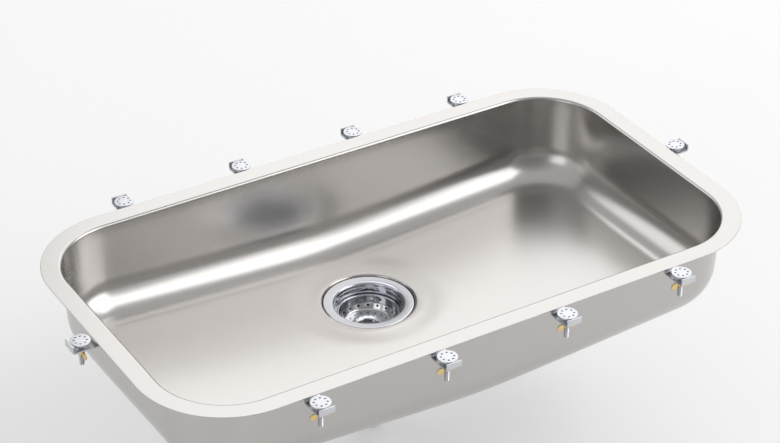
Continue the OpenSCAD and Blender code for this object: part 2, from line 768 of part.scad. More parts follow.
module stopper_nut() color("silver")
    translate([0, drain_y, stopper_under_z - stem_nut_h]) difference() {
        cylinder(r = stem_nut_r, h = stem_nut_h, $fn = 6);
        translate([0, 0, -over]) cylinder(r = stem_r + thread_gap, h = stem_nut_h + 2 * over);
    }

bowl();
sound_pad(-1);  // sound_pad_left
sound_pad(1);  // sound_pad_right
bedding_ring();
strainer_body();
rubber_gasket();
fibre_washer();
lock_nut();
tailpiece_seal();
tailpiece();
coupling_nut();
clip_studs();
clips();
clip_washers();
wing_nuts();
basket();
basket_hub();
grip_ring();
knob();
stem();
stopper_washer();
stopper();
stopper_nut();
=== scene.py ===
"""Undermount kitchen sink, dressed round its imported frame.

The drawn bowl, its sound pads and every turned, folded or cast fitting are built here as smooth
closed meshes in the places that the frame gives, and each gets its finish. Metres throughout, in
the frame's own axes: +X along the sink, +Y to its back and +Z up.
"""

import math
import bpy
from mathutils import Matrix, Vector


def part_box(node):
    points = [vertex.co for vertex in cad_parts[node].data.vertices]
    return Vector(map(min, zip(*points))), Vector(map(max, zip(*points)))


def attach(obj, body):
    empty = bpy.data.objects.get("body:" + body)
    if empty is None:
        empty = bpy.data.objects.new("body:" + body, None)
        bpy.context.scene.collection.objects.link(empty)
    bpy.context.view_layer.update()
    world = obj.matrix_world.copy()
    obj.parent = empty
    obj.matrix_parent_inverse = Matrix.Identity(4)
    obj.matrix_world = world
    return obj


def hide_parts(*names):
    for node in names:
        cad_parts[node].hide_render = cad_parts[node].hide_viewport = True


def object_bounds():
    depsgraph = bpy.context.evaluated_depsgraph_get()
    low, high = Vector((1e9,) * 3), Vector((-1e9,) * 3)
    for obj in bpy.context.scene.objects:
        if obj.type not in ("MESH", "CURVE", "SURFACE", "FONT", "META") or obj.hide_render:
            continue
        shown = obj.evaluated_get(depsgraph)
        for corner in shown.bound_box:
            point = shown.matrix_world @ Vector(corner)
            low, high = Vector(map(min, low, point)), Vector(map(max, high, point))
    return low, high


bl_info = {
    "name": "Undermount Kitchen Sink",
    "version": (1, 0, 0),
    "blender": (4, 5, 0),
    "location": "View3D > Sidebar > Sink",
    "description": "A drawn steel sink bowl with its basket strainer, tailpiece and clips",
    "category": "Object",
}

from types import SimpleNamespace

import bmesh
import bpy
from mathutils import Matrix, Vector

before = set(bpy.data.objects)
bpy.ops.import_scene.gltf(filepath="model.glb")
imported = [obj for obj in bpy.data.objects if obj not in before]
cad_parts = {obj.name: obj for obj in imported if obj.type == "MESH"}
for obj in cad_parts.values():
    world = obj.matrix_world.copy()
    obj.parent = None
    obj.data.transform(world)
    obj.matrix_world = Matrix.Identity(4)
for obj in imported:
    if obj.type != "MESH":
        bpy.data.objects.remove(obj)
CAD_BOUNDS = [list(corner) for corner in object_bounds()]

MM = 0.001
# Steps of the bowl's outline: a corner, a long side and a short side
CORNER_STEPS = 22
LONG_STEPS = 44
SHORT_STEPS = 22
RING_COUNT = 4 * (CORNER_STEPS + 1) + 2 * (LONG_STEPS - 1) + 2 * (SHORT_STEPS - 1)
# Steps of the bowl's section
EDGE_STEPS = 4
BEND_STEPS = 6
WALL_STEPS = 6
SWEEP_STEPS = 20
FLOOR_STEPS = 30
# Sides of a turned piece, of a small one and of a drill
SIDES = 160
SMALL_SIDES = 40
DRILL_SIDES = 24
# Steps of each side of a small hexagon
FLAT_STEPS = 8
# Roundings of machined, pressed and cast edges, from the finest to the softest
FINE_EDGE = 0.2 * MM
THIN_EDGE = 0.25 * MM
EDGE = 0.3 * MM
BLUNT_EDGE = 0.4 * MM
SOFT_EDGE = 0.5 * MM
# How far joined pieces run into each other
OVERLAP = MM
# Plain length of a core below its thread
RUN_OUT = 1.2 * MM
# An edge sharper than this keeps its crease in the shading
CREASE = math.radians(35)


# ---- Sizes and finishes that a user may change ----


def mm(name, description, millimetres):
    """A length, given in millimetres and kept in metres."""
    return bpy.props.FloatProperty(
        name=name, description=description, default=millimetres * MM, unit="LENGTH", precision=5
    )


def share(name, description, value):
    """A plain ratio."""
    return bpy.props.FloatProperty(
        name=name, description=description, default=value, subtype="FACTOR", precision=4
    )


def count(name, description, value):
    """A number of like pieces or holes."""
    return bpy.props.IntProperty(name=name, description=description, default=value, min=1)


def tint(name, description, red, green, blue):
    """The colour of a finish."""
    return bpy.props.FloatVectorProperty(
        name=name, description=description, default=(red, green, blue), subtype="COLOR", size=3
    )


class SinkBowlSizes(bpy.types.PropertyGroup):
    """Sizes of the drawn bowl and its sound pads"""

    opening_l: mm("Opening length", "Length of the opening, left to right", 756)
    opening_w: mm("Opening width", "Width of the opening, front to back", 400)
    corner_r: mm("Corner radius", "Corner radius of the opening", 87)
    depth: mm("Depth", "Depth of the floor beside the drain", 132.3)
    sheet_t: mm("Sheet", "Thickness of the drawn sheet", 1.2)
    flange_w: mm("Flange", "Width of the flat flange round the opening", 25)
    rim_edge_r: mm("Rim edge", "Rounding of the flange's cut edge", 0.35)
    bend_r: mm("Bend", "Radius of the bend from flange to wall", 4)
    sweep_r: mm("Sweep", "Radius of the sweep from wall to floor", 42)
    wall_lean: mm("Wall lean", "How far a wall leans in from top to foot", 3)
    fall_long: share("Fall along", "Fall of the floor along the sink", 0.062)
    fall_cross: share("Fall across", "Fall of the floor across the sink", 0.03)
    valley_w: mm("Valley", "Softness of the valley through the drain", 45)
    apron_w: mm("Apron", "Width over which the floor levels out round the recess", 40)
    recess_r: mm("Recess radius", "Radius of the pressed recess", 58)
    recess_depth: mm("Recess depth", "Depth of the pressed recess", 6)
    recess_edge_r: mm("Recess edge", "Radius of the recess's upper edge", 2.8)
    recess_corner_r: mm("Recess corner", "Radius of the recess's lower corner", 1)
    hole_r: mm("Drain hole", "Radius of the drain hole", 45.5)
    pad_long: share("Pad length", "Share of the floor beside the drain that a pad covers", 0.84)
    pad_w: mm("Pad width", "Width of each sound pad", 220)
    pad_corner_r: mm("Pad corner", "Corner radius of a sound pad", 18)
    pad_t: mm("Pad thickness", "Thickness of a sound pad", 3)
    pad_from_drain: mm("Pad place", "Distance from the drain to a pad's near edge", 114)
    pad_gap: mm("Glue gap", "Glue gap between pad and bowl", 0.2)


class SinkDrainSizes(bpy.types.PropertyGroup):
    """Sizes of the strainer body and what clamps it to the bowl"""

    bed_t: mm("Bedding", "Thickness of the bedding ring", 0.5)
    flange_r: mm("Flange radius", "Radius of the chrome flange", 57.15)
    flange_t: mm("Flange thickness", "Thickness of the chrome flange at its edge", 3.6)
    flange_dish: mm("Flange dish", "How far the flange slopes down to the throat", 1.4)
    throat_r: mm("Throat", "Radius of the throat just below the flange", 43.4)
    throat_bend_r: mm("Throat bend", "Bend from the flange into the throat", 3.2)
    throat_lean: mm("Throat lean", "How far each length of the throat leans in", 0.15)
    ledge_w: mm("Ledge", "Width of each small ledge in the throat", 0.7)
    upper_ledge: mm("Upper ledge", "Depth of the upper ledge", 6.5)
    lower_ledge: mm("Lower ledge", "Depth of the lower ledge", 12.7)
    barrel_r: mm("Barrel", "Outer radius of the threaded barrel", 44.3)
    barrel_len: mm("Barrel length", "Length of the barrel below the flange", 20)
    seat_depth: mm("Seat depth", "Depth of the basket's seat", 16.7)
    cup_r: mm("Cup", "Inner radius of the lower cup", 38.3)
    cup_wall: mm("Cup wall", "Wall thickness of the lower cup", 2)
    cup_depth: mm("Cup depth", "Depth of the cup's floor", 60.3)
    cup_fillet_r: mm("Cup fillet", "Radius between the cup's wall and floor", 7)
    outlet_r: mm("Outlet", "Inner radius of the outlet", 19.6)
    outlet_thread_r: mm("Outlet thread", "Outer radius of the outlet's thread", 23.4)
    outlet_len: mm("Outlet length", "Length of the outlet below the cup", 19)
    bar_w: mm("Bar width", "Width of each bar across the outlet", 3)
    bar_h: mm("Bar height", "Height of each bar across the outlet", 4)
    bar_drop: mm("Bar depth", "Depth of the bars below the cup's floor", 9)
    eye_r: mm("Guide eye", "Radius of the guide eye where the bars cross", 6.5)
    thread_pitch: mm("Thread pitch", "Pitch of the coarse threads", 1.6)
    thread_depth: mm("Thread depth", "Depth of the coarse threads", 0.6)
    gasket_w: mm("Gasket width", "Width of the rubber gasket's ring", 10.5)
    gasket_t: mm("Gasket", "Thickness of the rubber gasket", 3.5)
    fibre_t: mm("Fibre washer", "Thickness of the fibre washer", 1)
    lock_nut_h: mm("Lock nut", "Height of the lock nut", 10)
    lock_nut_wall: mm("Lock nut wall", "Wall of the lock nut's ring", 5)
    lock_collar_t: mm("Lock nut collar", "Thickness of the lock nut's collar", 2.5)
    lug_reach: mm("Lug reach", "Reach of the lock nut's lugs", 6)
    lug_w: mm("Lug width", "Width of a lug", 7)
    lug_count: count("Lugs", "Number of lugs on the lock nut", 8)
    tail_r: mm("Tailpiece", "Outer radius of the tailpiece", 19.05)
    tail_wall: mm("Tailpiece wall", "Wall of the tailpiece", 1.3)
    tail_len: mm("Tailpiece length", "Length of the tailpiece", 102)
    tail_neck: mm("Tailpiece neck", "How far the tube is drawn in below its flange", 0.25)
    tail_neck_l: mm("Neck length", "Length of the drawn-in part, with the flange", 7)
    tail_seal_t: mm("Tailpiece seal", "Thickness of the tailpiece's seal", 2)
    coupling_h: mm("Coupling nut", "Height of the coupling nut", 19)
    coupling_wall: mm("Coupling wall", "Wall of the coupling nut at its flats", 3.6)
    coupling_lip_t: mm("Coupling lip", "Thickness of the coupling nut's lip", 2.5)


class SinkBasketSizes(bpy.types.PropertyGroup):
    """Sizes of the lift-out basket and its stopper"""

    clear: mm("Clearance", "Clearance between the basket and the cup", 0.5)
    sheet_t: mm("Sheet", "Thickness of the basket's sheet", 0.8)
    rim_w: mm("Rim", "Reach of the beaded rim beyond the wall", 1.5)
    wall_h: mm("Wall", "Height of the upright wall", 9)
    wall_lean: mm("Wall lean", "How far the upright wall leans in", 0.4)
    band_w: mm("Band width", "Width of the sloping band", 4.4)
    band_h: mm("Band height", "Height of the sloping band", 7.6)
    band_bend_r: mm("Band bend", "Radius where the wall turns into the band", 4)
    floor_drop: mm("Floor drop", "Drop of the floor from the band to the well", 2)
    floor_bend_r: mm("Floor bend", "Radius where the band turns into the floor", 3)
    well_r: mm("Well", "Radius of the well round the knob", 14.5)
    well_depth: mm("Well depth", "Depth of the well", 7)
    well_lean: mm("Well lean", "How far the well's wall leans in", 1)
    well_bend_r: mm("Well bend", "Radius of the well's two bends", 1.6)
    hole_count: count("Holes", "Number of holes in each row", 18)
    big_hole_r: mm("Outer holes", "Radius of the holes in the outer row", 1.6)
    small_hole_r: mm("Inner holes", "Radius of the holes in the inner row", 1.1)
    small_row_r: mm("Inner row", "Radius of the circle of the inner row", 25.9)
    big_row: share("Outer row", "Place of the outer row on the band", 0.37)
    stem_r: mm("Stem", "Radius of the stem", 3)
    stem_clear: mm("Stem clearance", "Running clearance of the stem", 0.08)
    hub_r: mm("Hub", "Radius of the hub", 6.5)
    hub_waist_r: mm("Hub waist", "Radius of the hole that holds the hub", 4.8)
    hub_up: mm("Hub above", "Height of the hub above the floor", 0.8)
    hub_down: mm("Hub below", "Height of the hub below the floor", 2.4)
    grip_cord_r: mm("Grip ring", "Radius of the rubber ring's cord", 0.5)
    knob_r: mm("Knob", "Radius of the knob", 9.3)
    knob_head_t: mm("Knob head", "Thickness of the knob's head", 2.2)
    knob_h: mm("Knob height", "Height of the knob", 5)
    knob_neck_r: mm("Knob neck", "Radius of the knob's neck", 4.6)
    knob_dish: mm("Knob dish", "Depth of the knob's dished top", 0.3)
    stopper_r: mm("Stopper", "Radius of the rubber stopper", 27)
    stopper_t: mm("Stopper thickness", "Thickness of the rubber stopper", 4)
    washer_r: mm("Washer", "Radius of the washer on the stopper", 15)
    washer_t: mm("Washer thickness", "Thickness of the washer on the stopper", 1)
    collar_r: mm("Collar", "Radius of the stem's collar", 4.8)
    collar_h: mm("Collar height", "Height of the stem's collar", 1.2)
    nut_r: mm("Stem nut", "Radius of the nut under the stopper", 6.2)
    nut_h: mm("Stem nut height", "Height of the nut under the stopper", 3.2)
    stem_reach: mm("Stem reach", "Reach of the stem into the guide eye", 5)
    seal_gap: mm("Seal gap", "Gap of the seated stopper over the cup", 0.1)


class SinkClipSizes(bpy.types.PropertyGroup):
    """Sizes of the clips that hold the flange up"""

    long_share: share("Clip spread", "Place of a long side's outer clip on its straight", 0.84)
    long_count: count("Clips per long side", "Number of clips along each long side", 4)
    width: mm("Clip width", "Width of a clip", 20)
    strip_t: mm("Strip", "Thickness of the clip's strip", 2)
    drop: mm("Drop", "Depth of the clip's run below the flange", 7)
    toe_from_opening: mm("Toe place", "Distance from the opening to the toe", 12)
    toe_l: mm("Toe", "Length of the clip's toe", 6)
    bend_r: mm("Clip bend", "Inner radius of the clip's bends", 1.5)
    stud_from_flange: mm("Stud place", "Distance from the flange's edge to the stud", 14)
    stud_r: mm("Stud", "Radius of the stud", 3)
    stud_l: mm("Stud length", "Length of the stud", 32)
    stud_pitch: mm("Stud pitch", "Pitch of the stud's thread", 1)
    stud_depth: mm("Stud thread", "Depth of the stud's thread", 0.45)
    plate_r: mm("Glue plate", "Radius of the stud's glue plate", 12)
    plate_t: mm("Glue plate thickness", "Thickness of the glue plate", 1.5)
    glue_hole_r: mm("Glue hole", "Radius of each glue hole", 1.4)
    glue_hole_count: count("Glue holes", "Number of glue holes", 8)
    slot_l: mm("Slot", "Length of the clip's slot", 13)
    washer_r: mm("Clip washer", "Radius of the clip washer", 8)
    washer_t: mm("Clip washer thickness", "Thickness of the clip washer", 1.2)
    wing_body_r: mm("Wing nut body", "Radius of the wing nut's body at its face", 5.4)
    wing_body_h: mm("Wing nut height", "Height of the wing nut's body", 7)
    wing_span: mm("Wing span", "Span of the wing nut, tip to tip", 27)
    wing_t: mm("Wing", "Thickness of a wing", 2.2)
    wing_tip_r: mm("Wing tip", "Radius of a wing's round tip", 4.4)
    pass_gap: mm("Passing gap", "Gap between pieces that only pass each other", 0.6)
    thread_gap: mm("Thread gap", "Gap between screwed pieces, crest to crest", 0.15)


class SinkFinishes(bpy.types.PropertyGroup):
    """Colours of the finishes"""

    drawn_steel: tint("Bowl steel", "Satin steel of the bowl", 0.515, 0.5, 0.486)
    chrome: tint("Chrome", "Chrome of the strainer body", 0.545, 0.56, 0.605)
    tube_chrome: tint("Tube chrome", "Chrome of the tailpiece", 0.65, 0.655, 0.67)
    basket_steel: tint("Basket steel", "Bright steel of the basket", 0.57, 0.575, 0.595)
    fitting_steel: tint("Fitting steel", "Plated steel of the clips", 0.62, 0.63, 0.66)
    zinc: tint("Zinc", "Cast zinc of the nuts", 0.50, 0.51, 0.52)
    brass: tint("Brass", "Brass of the wing nuts", 0.74, 0.56, 0.26)
    black_rubber: tint("Black rubber", "Rubber of the gasket and stopper", 0.022, 0.022, 0.024)
    pad_rubber: tint("Pad rubber", "Rubber of the sound pads", 0.085, 0.086, 0.09)
    fibre: tint("Fibre", "Pressed fibre of the washer", 0.44, 0.30, 0.17)
    white_plastic: tint("White plastic", "Plastic of the tailpiece's seal", 0.78, 0.78, 0.76)
    bedding: tint("Bedding", "Compound under the strainer's flange", 0.70, 0.68, 0.62)
    floor: tint("Studio floor", "Pale floor under the sink", 0.90, 0.90, 0.90)


class SinkSettings(bpy.types.PropertyGroup):
    """Every size and finish of the sink"""

    bowl: bpy.props.PointerProperty(type=SinkBowlSizes, name="Bowl")
    drain: bpy.props.PointerProperty(type=SinkDrainSizes, name="Drain")
    basket: bpy.props.PointerProperty(type=SinkBasketSizes, name="Basket")
    clip: bpy.props.PointerProperty(type=SinkClipSizes, name="Clips")
    finish: bpy.props.PointerProperty(type=SinkFinishes, name="Finishes")


# ---- Outlines ----


def arc(cx, cy, radius, start, end, steps):
    """Points of an arc between two angles in degrees."""
    angles = [math.radians(start + (end - start) * k / steps) for k in range(steps + 1)]
    return [Vector((cx + radius * math.cos(a), cy + radius * math.sin(a))) for a in angles]


def between(first, last, steps):
    """The points that part a straight into even steps, without its ends."""
    return [first.lerp(last, k / steps) for k in range(1, steps)]


def round_rect(x, y, radius, corner, along, across):
    """A rectangle of half sizes x and y, grown and rounded by a radius, in even steps."""
    outline = []
    centres = [(x, y), (-x, y), (-x, -y), (x, -y)]
    for k, (cx, cy) in enumerate(centres):
        outline += arc(cx, cy, radius, 90 * k, 90 * k + 90, corner)
        nx, ny = centres[(k + 1) % 4]
        following = arc(nx, ny, radius, 90 * k + 90, 90 * k + 180, 1)[0]
        outline += between(outline[-1], following, (along, across)[k % 2])
    return outline


def round_corner(before, corner, after, radius, steps):
    """Arc that rounds one corner of an outline."""
    to_before = (before - corner).normalized()
    to_after = (after - corner).normalized()
    half = to_before.angle(to_after) / 2
    centre = corner + (to_before + to_after).normalized() * radius / math.sin(half)
    first = corner + to_before * radius / math.tan(half) - centre
    last = corner + to_after * radius / math.tan(half) - centre
    return [centre + first.slerp(last, k / steps) * radius for k in range(steps + 1)]


def rounded(corners, steps=6):
    """Points of an outline whose corners are each a radius, a height and a rounding."""
    outline = []
    for k, (r, z, bend) in enumerate(corners):
        here = Vector((r, z))
        if bend:
            before, after = corners[k - 1], corners[(k + 1) % len(corners)]
            outline += round_corner(Vector(before[:2]), here, Vector(after[:2]), bend, steps)
        else:
            outline.append(here)
    return outline


def moved(corners, distance):
    """An open outline moved to the right of its way, with its bends kept concentric."""
    ways = [(Vector(b[:2]) - Vector(a[:2])).normalized() for a, b in zip(corners, corners[1:])]
    sides = [Vector((way.y, -way.x)) for way in ways]
    result = []
    for (r, z, bend), before, after in zip(corners, sides[:1] + sides, sides + sides[-1:]):
        to = Vector((r, z)) + (before + after) * distance / (1 + before.dot(after))
        turn = before.x * after.y - before.y * after.x
        grown = bend + math.copysign(distance, distance * turn) if bend else 0
        result.append((to.x, to.y, grown))
    return result


def sheet(corners, thickness, steps=6):
    """Closed outline of a sheet that follows the corners and lies to their right."""
    return rounded(corners, steps) + rounded(moved(corners, thickness), steps)[::-1]


def box_outline(left, right, bottom, top, edge, steps=6):
    """Closed outline of a rectangle with four softly rounded corners."""
    corners = ((left, bottom), (right, bottom), (right, top), (left, top))
    return rounded([(x, z, edge) for x, z in corners], steps)


def washer_outline(inner, outer, bottom, height, edge):
    """Closed outline of a ring with four softly rounded edges."""
    return box_outline(inner, outer, bottom, bottom + height, edge, 3)


def circle(radius, z, sides):
    """A level ring of evenly spaced points about the Z axis."""
    angles = [math.tau * k / sides for k in range(sides)]
    return [Vector((radius * math.cos(a), radius * math.sin(a), z)) for a in angles]


# ---- Meshes ----


def ring_faces(rings, closed):
    """Faces between rings of vertex numbers; a pole is a ring of one number repeated."""
    faces = []
    pairs = zip(rings, rings[1:] + rings[:1]) if closed else zip(rings, rings[1:])
    for near, far in pairs:
        for i in range(len(near)):
            j = (i + 1) % len(near)
            corners = tuple(dict.fromkeys((near[i], near[j], far[j], far[i])))
            if len(corners) > 2:
                faces.append(corners)
    return faces


def ring_shape(rings, closed=True):
    """Vertices and faces through rings of points that all have as many."""
    size = len(rings[0])
    numbers = [list(range(k * size, (k + 1) * size)) for k in range(len(rings))]
    return [point for ring in rings for point in ring], ring_faces(numbers, closed)


def turned_shape(outline, sides=SIDES):
    """Vertices and faces of a closed outline of (radius, height) turned about Z."""
    angles = [math.tau * k / sides for k in range(sides)]
    turns = [Vector((math.cos(a), math.sin(a))) for a in angles]
    verts, rings = [], []
    for point in outline:
        start = len(verts)
        if point.x < 1e-7:
            verts.append((0, 0, point.y))
            rings.append([start] * sides)
        else:
            verts += [(point.x * t.x, point.x * t.y, point.y) for t in turns]
            rings.append(list(range(start, start + sides)))
    return verts, ring_faces(rings, True)


def prism_shape(outline, low, high, place):
    """An outline extruded from low to high; place turns (u, v, height) into a point."""
    size = len(outline)
    verts = [place(p.x, p.y, h) for h in (low, high) for p in outline]
    faces = ring_faces([list(range(size)), list(range(size, 2 * size))], False)
    return verts, faces + [tuple(range(size)), tuple(range(2 * size - 1, size - 1, -1))]


def lying(u, v, h):
    """Place of a prism that lies along the X axis."""
    return (h, u, v)


def joined(*shapes):
    """Several shapes as one list of vertices and one of faces."""
    verts, faces = [], []
    for more_verts, more_faces in shapes:
        faces += [tuple(i + len(verts) for i in face) for face in more_faces]
        verts += more_verts
    return verts, faces


def new_piece(name, shape, shift=(0, 0, 0), merge=False):
    """A mesh object at the origin whose place is in its mesh, with its faces pointing outwards.

    Merging closes the poles of a shape whose end rings have shrunk to a point.
    """
    mesh = bpy.data.meshes.new(name)
    mesh.from_pydata([Vector(v) + Vector(shift) for v in shape[0]], [], shape[1])
    work = bmesh.new()
    work.from_mesh(mesh)
    if merge:
        bmesh.ops.remove_doubles(work, verts=work.verts, dist=MM / 1000)
    bmesh.ops.recalc_face_normals(work, faces=work.faces)
    work.to_mesh(mesh)
    work.free()
    piece = bpy.data.objects.new(name, mesh)
    bpy.context.scene.collection.objects.link(piece)
    return piece


def bevelled(piece, width, segments=2):
    """Rounds a piece's sharp edges."""
    bevel = piece.modifiers.new("Soft edges", "BEVEL")
    bevel.width = width
    bevel.segments = segments
    bevel.limit_method = "ANGLE"
    bevel.angle_limit = CREASE
    return settled(piece)


def settled(piece):
    """Turns a piece's modifiers into its plain mesh."""
    graph = bpy.context.evaluated_depsgraph_get()
    mesh = bpy.data.meshes.new_from_object(piece.evaluated_get(graph), depsgraph=graph)
    piece.modifiers.clear()
    piece.data = mesh
    return piece


def shifted(piece, shift):
    """Moves a piece's mesh and leaves its object at the origin."""
    piece.data.transform(Matrix.Translation(Vector(shift)))
    return piece


def discard(*pieces):
    """Removes the drills and patterns that a piece was made with."""
    for piece in pieces:
        bpy.data.objects.remove(piece)


def hand_over(piece, finish, body, slot, *nodes):
    """Gives a finished piece its material, its shading and its body, and hides the frame's nodes
    that it stands for.
    """
    piece.data.materials.clear()
    piece.data.materials.append(finish)
    piece.data.shade_smooth()
    piece.data.set_sharp_from_angle(angle=CREASE)
    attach(piece, body)
    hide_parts(*nodes)
    return piece


# ---- Node trees ----


class Wire:
    """An output socket; arithmetic on it adds Math nodes to its tree."""

    def __init__(self, nodes, socket):
        self.nodes = nodes
        self.socket = socket

    def maths(self, operation, first, second=0.0, **settings):
        """One Math node on two values or wires."""
        inputs = {0: first, 1: second}
        return self.nodes.add("ShaderNodeMath", inputs, operation=operation, **settings)

    def __add__(self, other):
        return self.maths("ADD", self, other)

    def __sub__(self, other):
        return self.maths("SUBTRACT", self, other)

    def __rsub__(self, other):
        return self.maths("SUBTRACT", other, self)

    def __mul__(self, other):
        return self.maths("MULTIPLY", self, other)

    def __truediv__(self, other):
        return self.maths("DIVIDE", self, other)

    __radd__ = __add__
    __rmul__ = __mul__


class Nodes:
    """A node tree under construction."""

    def __init__(self, tree):
        self.tree = tree

    def add(self, kind, inputs=None, output=0, stops=None, **settings):
        """Adds any node with its settings, then its inputs, and returns one output."""
        node = self.tree.nodes.new(kind)
        for name, value in settings.items():
            setattr(node, name, value)
        for place, colour in zip(node.color_ramp.elements if stops else [], stops or []):
            place.position, place.color = colour
        for key, value in (inputs or {}).items():
            for item in value if isinstance(value, list) else [value]:
                if isinstance(item, Wire):
                    self.tree.links.new(item.socket, node.inputs[key])
                else:
                    node.inputs[key].default_value = item
        return Wire(self, node.outputs[output]) if len(node.outputs) else node


class Finish(Nodes):
    """A procedural material that reads the piece's Object coordinates."""

    def __init__(self, name):
        self.material = bpy.data.materials.new(name)
        self.material.use_nodes = True
        self.material.node_tree.nodes.clear()
        super().__init__(self.material.node_tree)
        self.place = self.add("ShaderNodeTexCoord", output="Object")

    def noise(self, scale, detail=3.0, stretch=(1, 1, 1)):
        """Noise of a scale per metre, drawn out where stretch is below 1."""
        place = self.add("ShaderNodeMapping", {"Vector": self.place, "Scale": stretch})
        inputs = {"Vector": place, "Scale": scale, "Detail": detail}
        return self.add("ShaderNodeTexNoise", inputs)

    def part(self, vector, axis):
        """One coordinate of a vector."""
        return self.add("ShaderNodeSeparateXYZ", {0: vector}, output=axis)

    def cells(self, scale):
        """Distance to the nearest of a scatter of points."""
        inputs = {"Vector": self.place, "Scale": scale}
        return self.add("ShaderNodeTexVoronoi", inputs)

    def blend(self, factor, first, second):
        """A colour between two others."""
        inputs = {0: factor, 6: first, 7: second}
        return self.add("ShaderNodeMix", inputs, output=2, data_type="RGBA")

    def shades(self, colour, factor, spread):
        """A colour that varies a little darker and lighter."""
        dark = (*(channel * (1 - spread) for channel in colour), 1)
        light = (*(min(1, channel * (1 + spread)) for channel in colour), 1)
        return self.blend(factor, dark, light)

    def surface(self, colour, roughness, height=None, relief=0.0, **constants):
        """The shader, with relief as the depth of the bump in metres."""
        inputs = {"Base Color": colour, "Roughness": roughness}
        if height is not None:
            bump = {"Height": height, "Strength": 1.0, "Distance": relief}
            inputs["Normal"] = self.add("ShaderNodeBump", bump)
        inputs |= {name.replace("_", " "): value for name, value in constants.items()}
        shader = self.add("ShaderNodeBsdfPrincipled", inputs)
        self.add("ShaderNodeOutputMaterial", {"Surface": shader})
        return self.material


class Recipe(Nodes):
    """A Geometry Nodes tree with named inputs, ending in Realize Instances and Set Material."""

    KINDS = {
        "Drill": "NodeSocketObject",
        "Pattern": "NodeSocketObject",
        "Count": "NodeSocketInt",
        "Finish": "NodeSocketMaterial",
    }

    def __init__(self, name, *names):
        super().__init__(bpy.data.node_groups.new(name, "GeometryNodeTree"))
        face = self.tree.interface
        face.new_socket("Geometry", in_out="INPUT", socket_type="NodeSocketGeometry")
        face.new_socket("Geometry", in_out="OUTPUT", socket_type="NodeSocketGeometry")
        self.identifiers = {}
        for each in (*names, "Finish"):
            kind = self.KINDS.get(each, "NodeSocketFloat")
            socket = face.new_socket(each, in_out="INPUT", socket_type=kind)
            self.identifiers[each] = socket.identifier
        node = self.tree.nodes.new("NodeGroupInput")
        given = ("Geometry", *names, "Finish")
        self.given = {each: Wire(self, node.outputs[each]) for each in given}

    def copies(self, pattern, points, turn):
        """Copies of an object on points, each turned about the Z axis."""
        rotation = self.add("ShaderNodeCombineXYZ", {"Z": turn})
        source = self.add("GeometryNodeObjectInfo", {"Object": pattern}, output="Geometry")
        inputs = {"Points": points, "Instance": source, "Rotation": rotation}
        return self.add("GeometryNodeInstanceOnPoints", inputs)

    def turned_copies(self, pattern):
        """Copies of an object, turned evenly about the Z axis."""
        number = self.given["Count"]
        line = self.add("GeometryNodeMeshLine", {"Count": number, "Offset": (0, 0, 0)})
        turn = self.add("GeometryNodeInputIndex") * math.tau / number
        return self.copies(pattern, line, turn)

    def finish_with(self, geometry):
        """Joins geometry to the piece and ends the tree."""
        both = {"Geometry": [geometry, self.given["Geometry"]]}
        return self.finish(self.add("GeometryNodeJoinGeometry", both))

    def finish(self, geometry):
        """Ends the tree."""
        real = self.add("GeometryNodeRealizeInstances", {"Geometry": geometry})
        inputs = {"Geometry": real, "Material": self.given["Finish"]}
        done = self.add("GeometryNodeSetMaterial", inputs)
        self.add("NodeGroupOutput", {"Geometry": done})
        return self

    def apply(self, piece, **values):
        """Runs the tree on a piece with these inputs and keeps the plain mesh."""
        modifier = piece.modifiers.new(self.tree.name, "NODES")
        modifier.node_group = self.tree
        for name, value in values.items():
            modifier[self.identifiers[name]] = value
        return settled(piece)


def drilled_ring():
    """Cuts a ring of copies of a drill out of a piece."""
    recipe = Recipe("Drilled ring", "Drill", "Count")
    drills = recipe.add(
        "GeometryNodeRealizeInstances",
        {"Geometry": recipe.turned_copies(recipe.given["Drill"])},
    )
    inputs = {"Mesh 1": recipe.given["Geometry"], "Mesh 2": drills}
    cut = recipe.add("GeometryNodeMeshBoolean", inputs, operation="DIFFERENCE", solver="EXACT")
    return recipe.finish(cut)


def ring_of_copies():
    """Joins a ring of copies of a pattern to a piece."""
    recipe = Recipe("Ring of copies", "Pattern", "Count")
    return recipe.finish_with(recipe.turned_copies(recipe.given["Pattern"]))


def screw_thread():
    """Winds a ridge round a piece's core, up from its bottom."""
    recipe = Recipe("Screw thread", "Crest", "Depth", "Pitch", "Length", "Bottom")
    given = recipe.given
    root = given["Crest"] - given["Depth"]
    inputs = {
        "Resolution": 32,
        "Rotations": given["Length"] / given["Pitch"],
        "Start Radius": root,
        "End Radius": root,
        "Height": given["Length"],
    }
    helix = recipe.add("GeometryNodeCurveSpiral", inputs)
    upright = recipe.add("GeometryNodeSetCurveNormal", {"Curve": helix}, mode="Z_UP")
    ridge = recipe.add(
        "GeometryNodeCurvePrimitiveCircle", {"Resolution": 4, "Radius": given["Depth"]}
    )
    inputs = {"Curve": upright, "Profile Curve": ridge, "Fill Caps": True}
    wound = recipe.add("GeometryNodeCurveToMesh", inputs)
    lift = recipe.add("ShaderNodeCombineXYZ", {"Z": given["Bottom"]})
    placed = recipe.add("GeometryNodeTransform", {"Geometry": wound, "Translation": lift})
    return recipe.finish_with(placed)


def round_the_flange():
    """Stands a copy of a pattern at each point, turned by the point's own turn."""
    recipe = Recipe("Round the flange", "Pattern")
    turn = recipe.add(
        "GeometryNodeInputNamedAttribute", {"Name": "turn"}, output="Attribute", data_type="FLOAT"
    )
    given = recipe.given
    return recipe.finish(recipe.copies(given["Pattern"], given["Geometry"], turn))


# ---- Finishes ----

# Width of the burnished steel's edge, stretch of its grain along and across, and the pads' grid
SATIN_START = 4 * MM
GRAIN_STRETCH = (0.12, 12)
WAFFLE_PITCH = 8 * MM


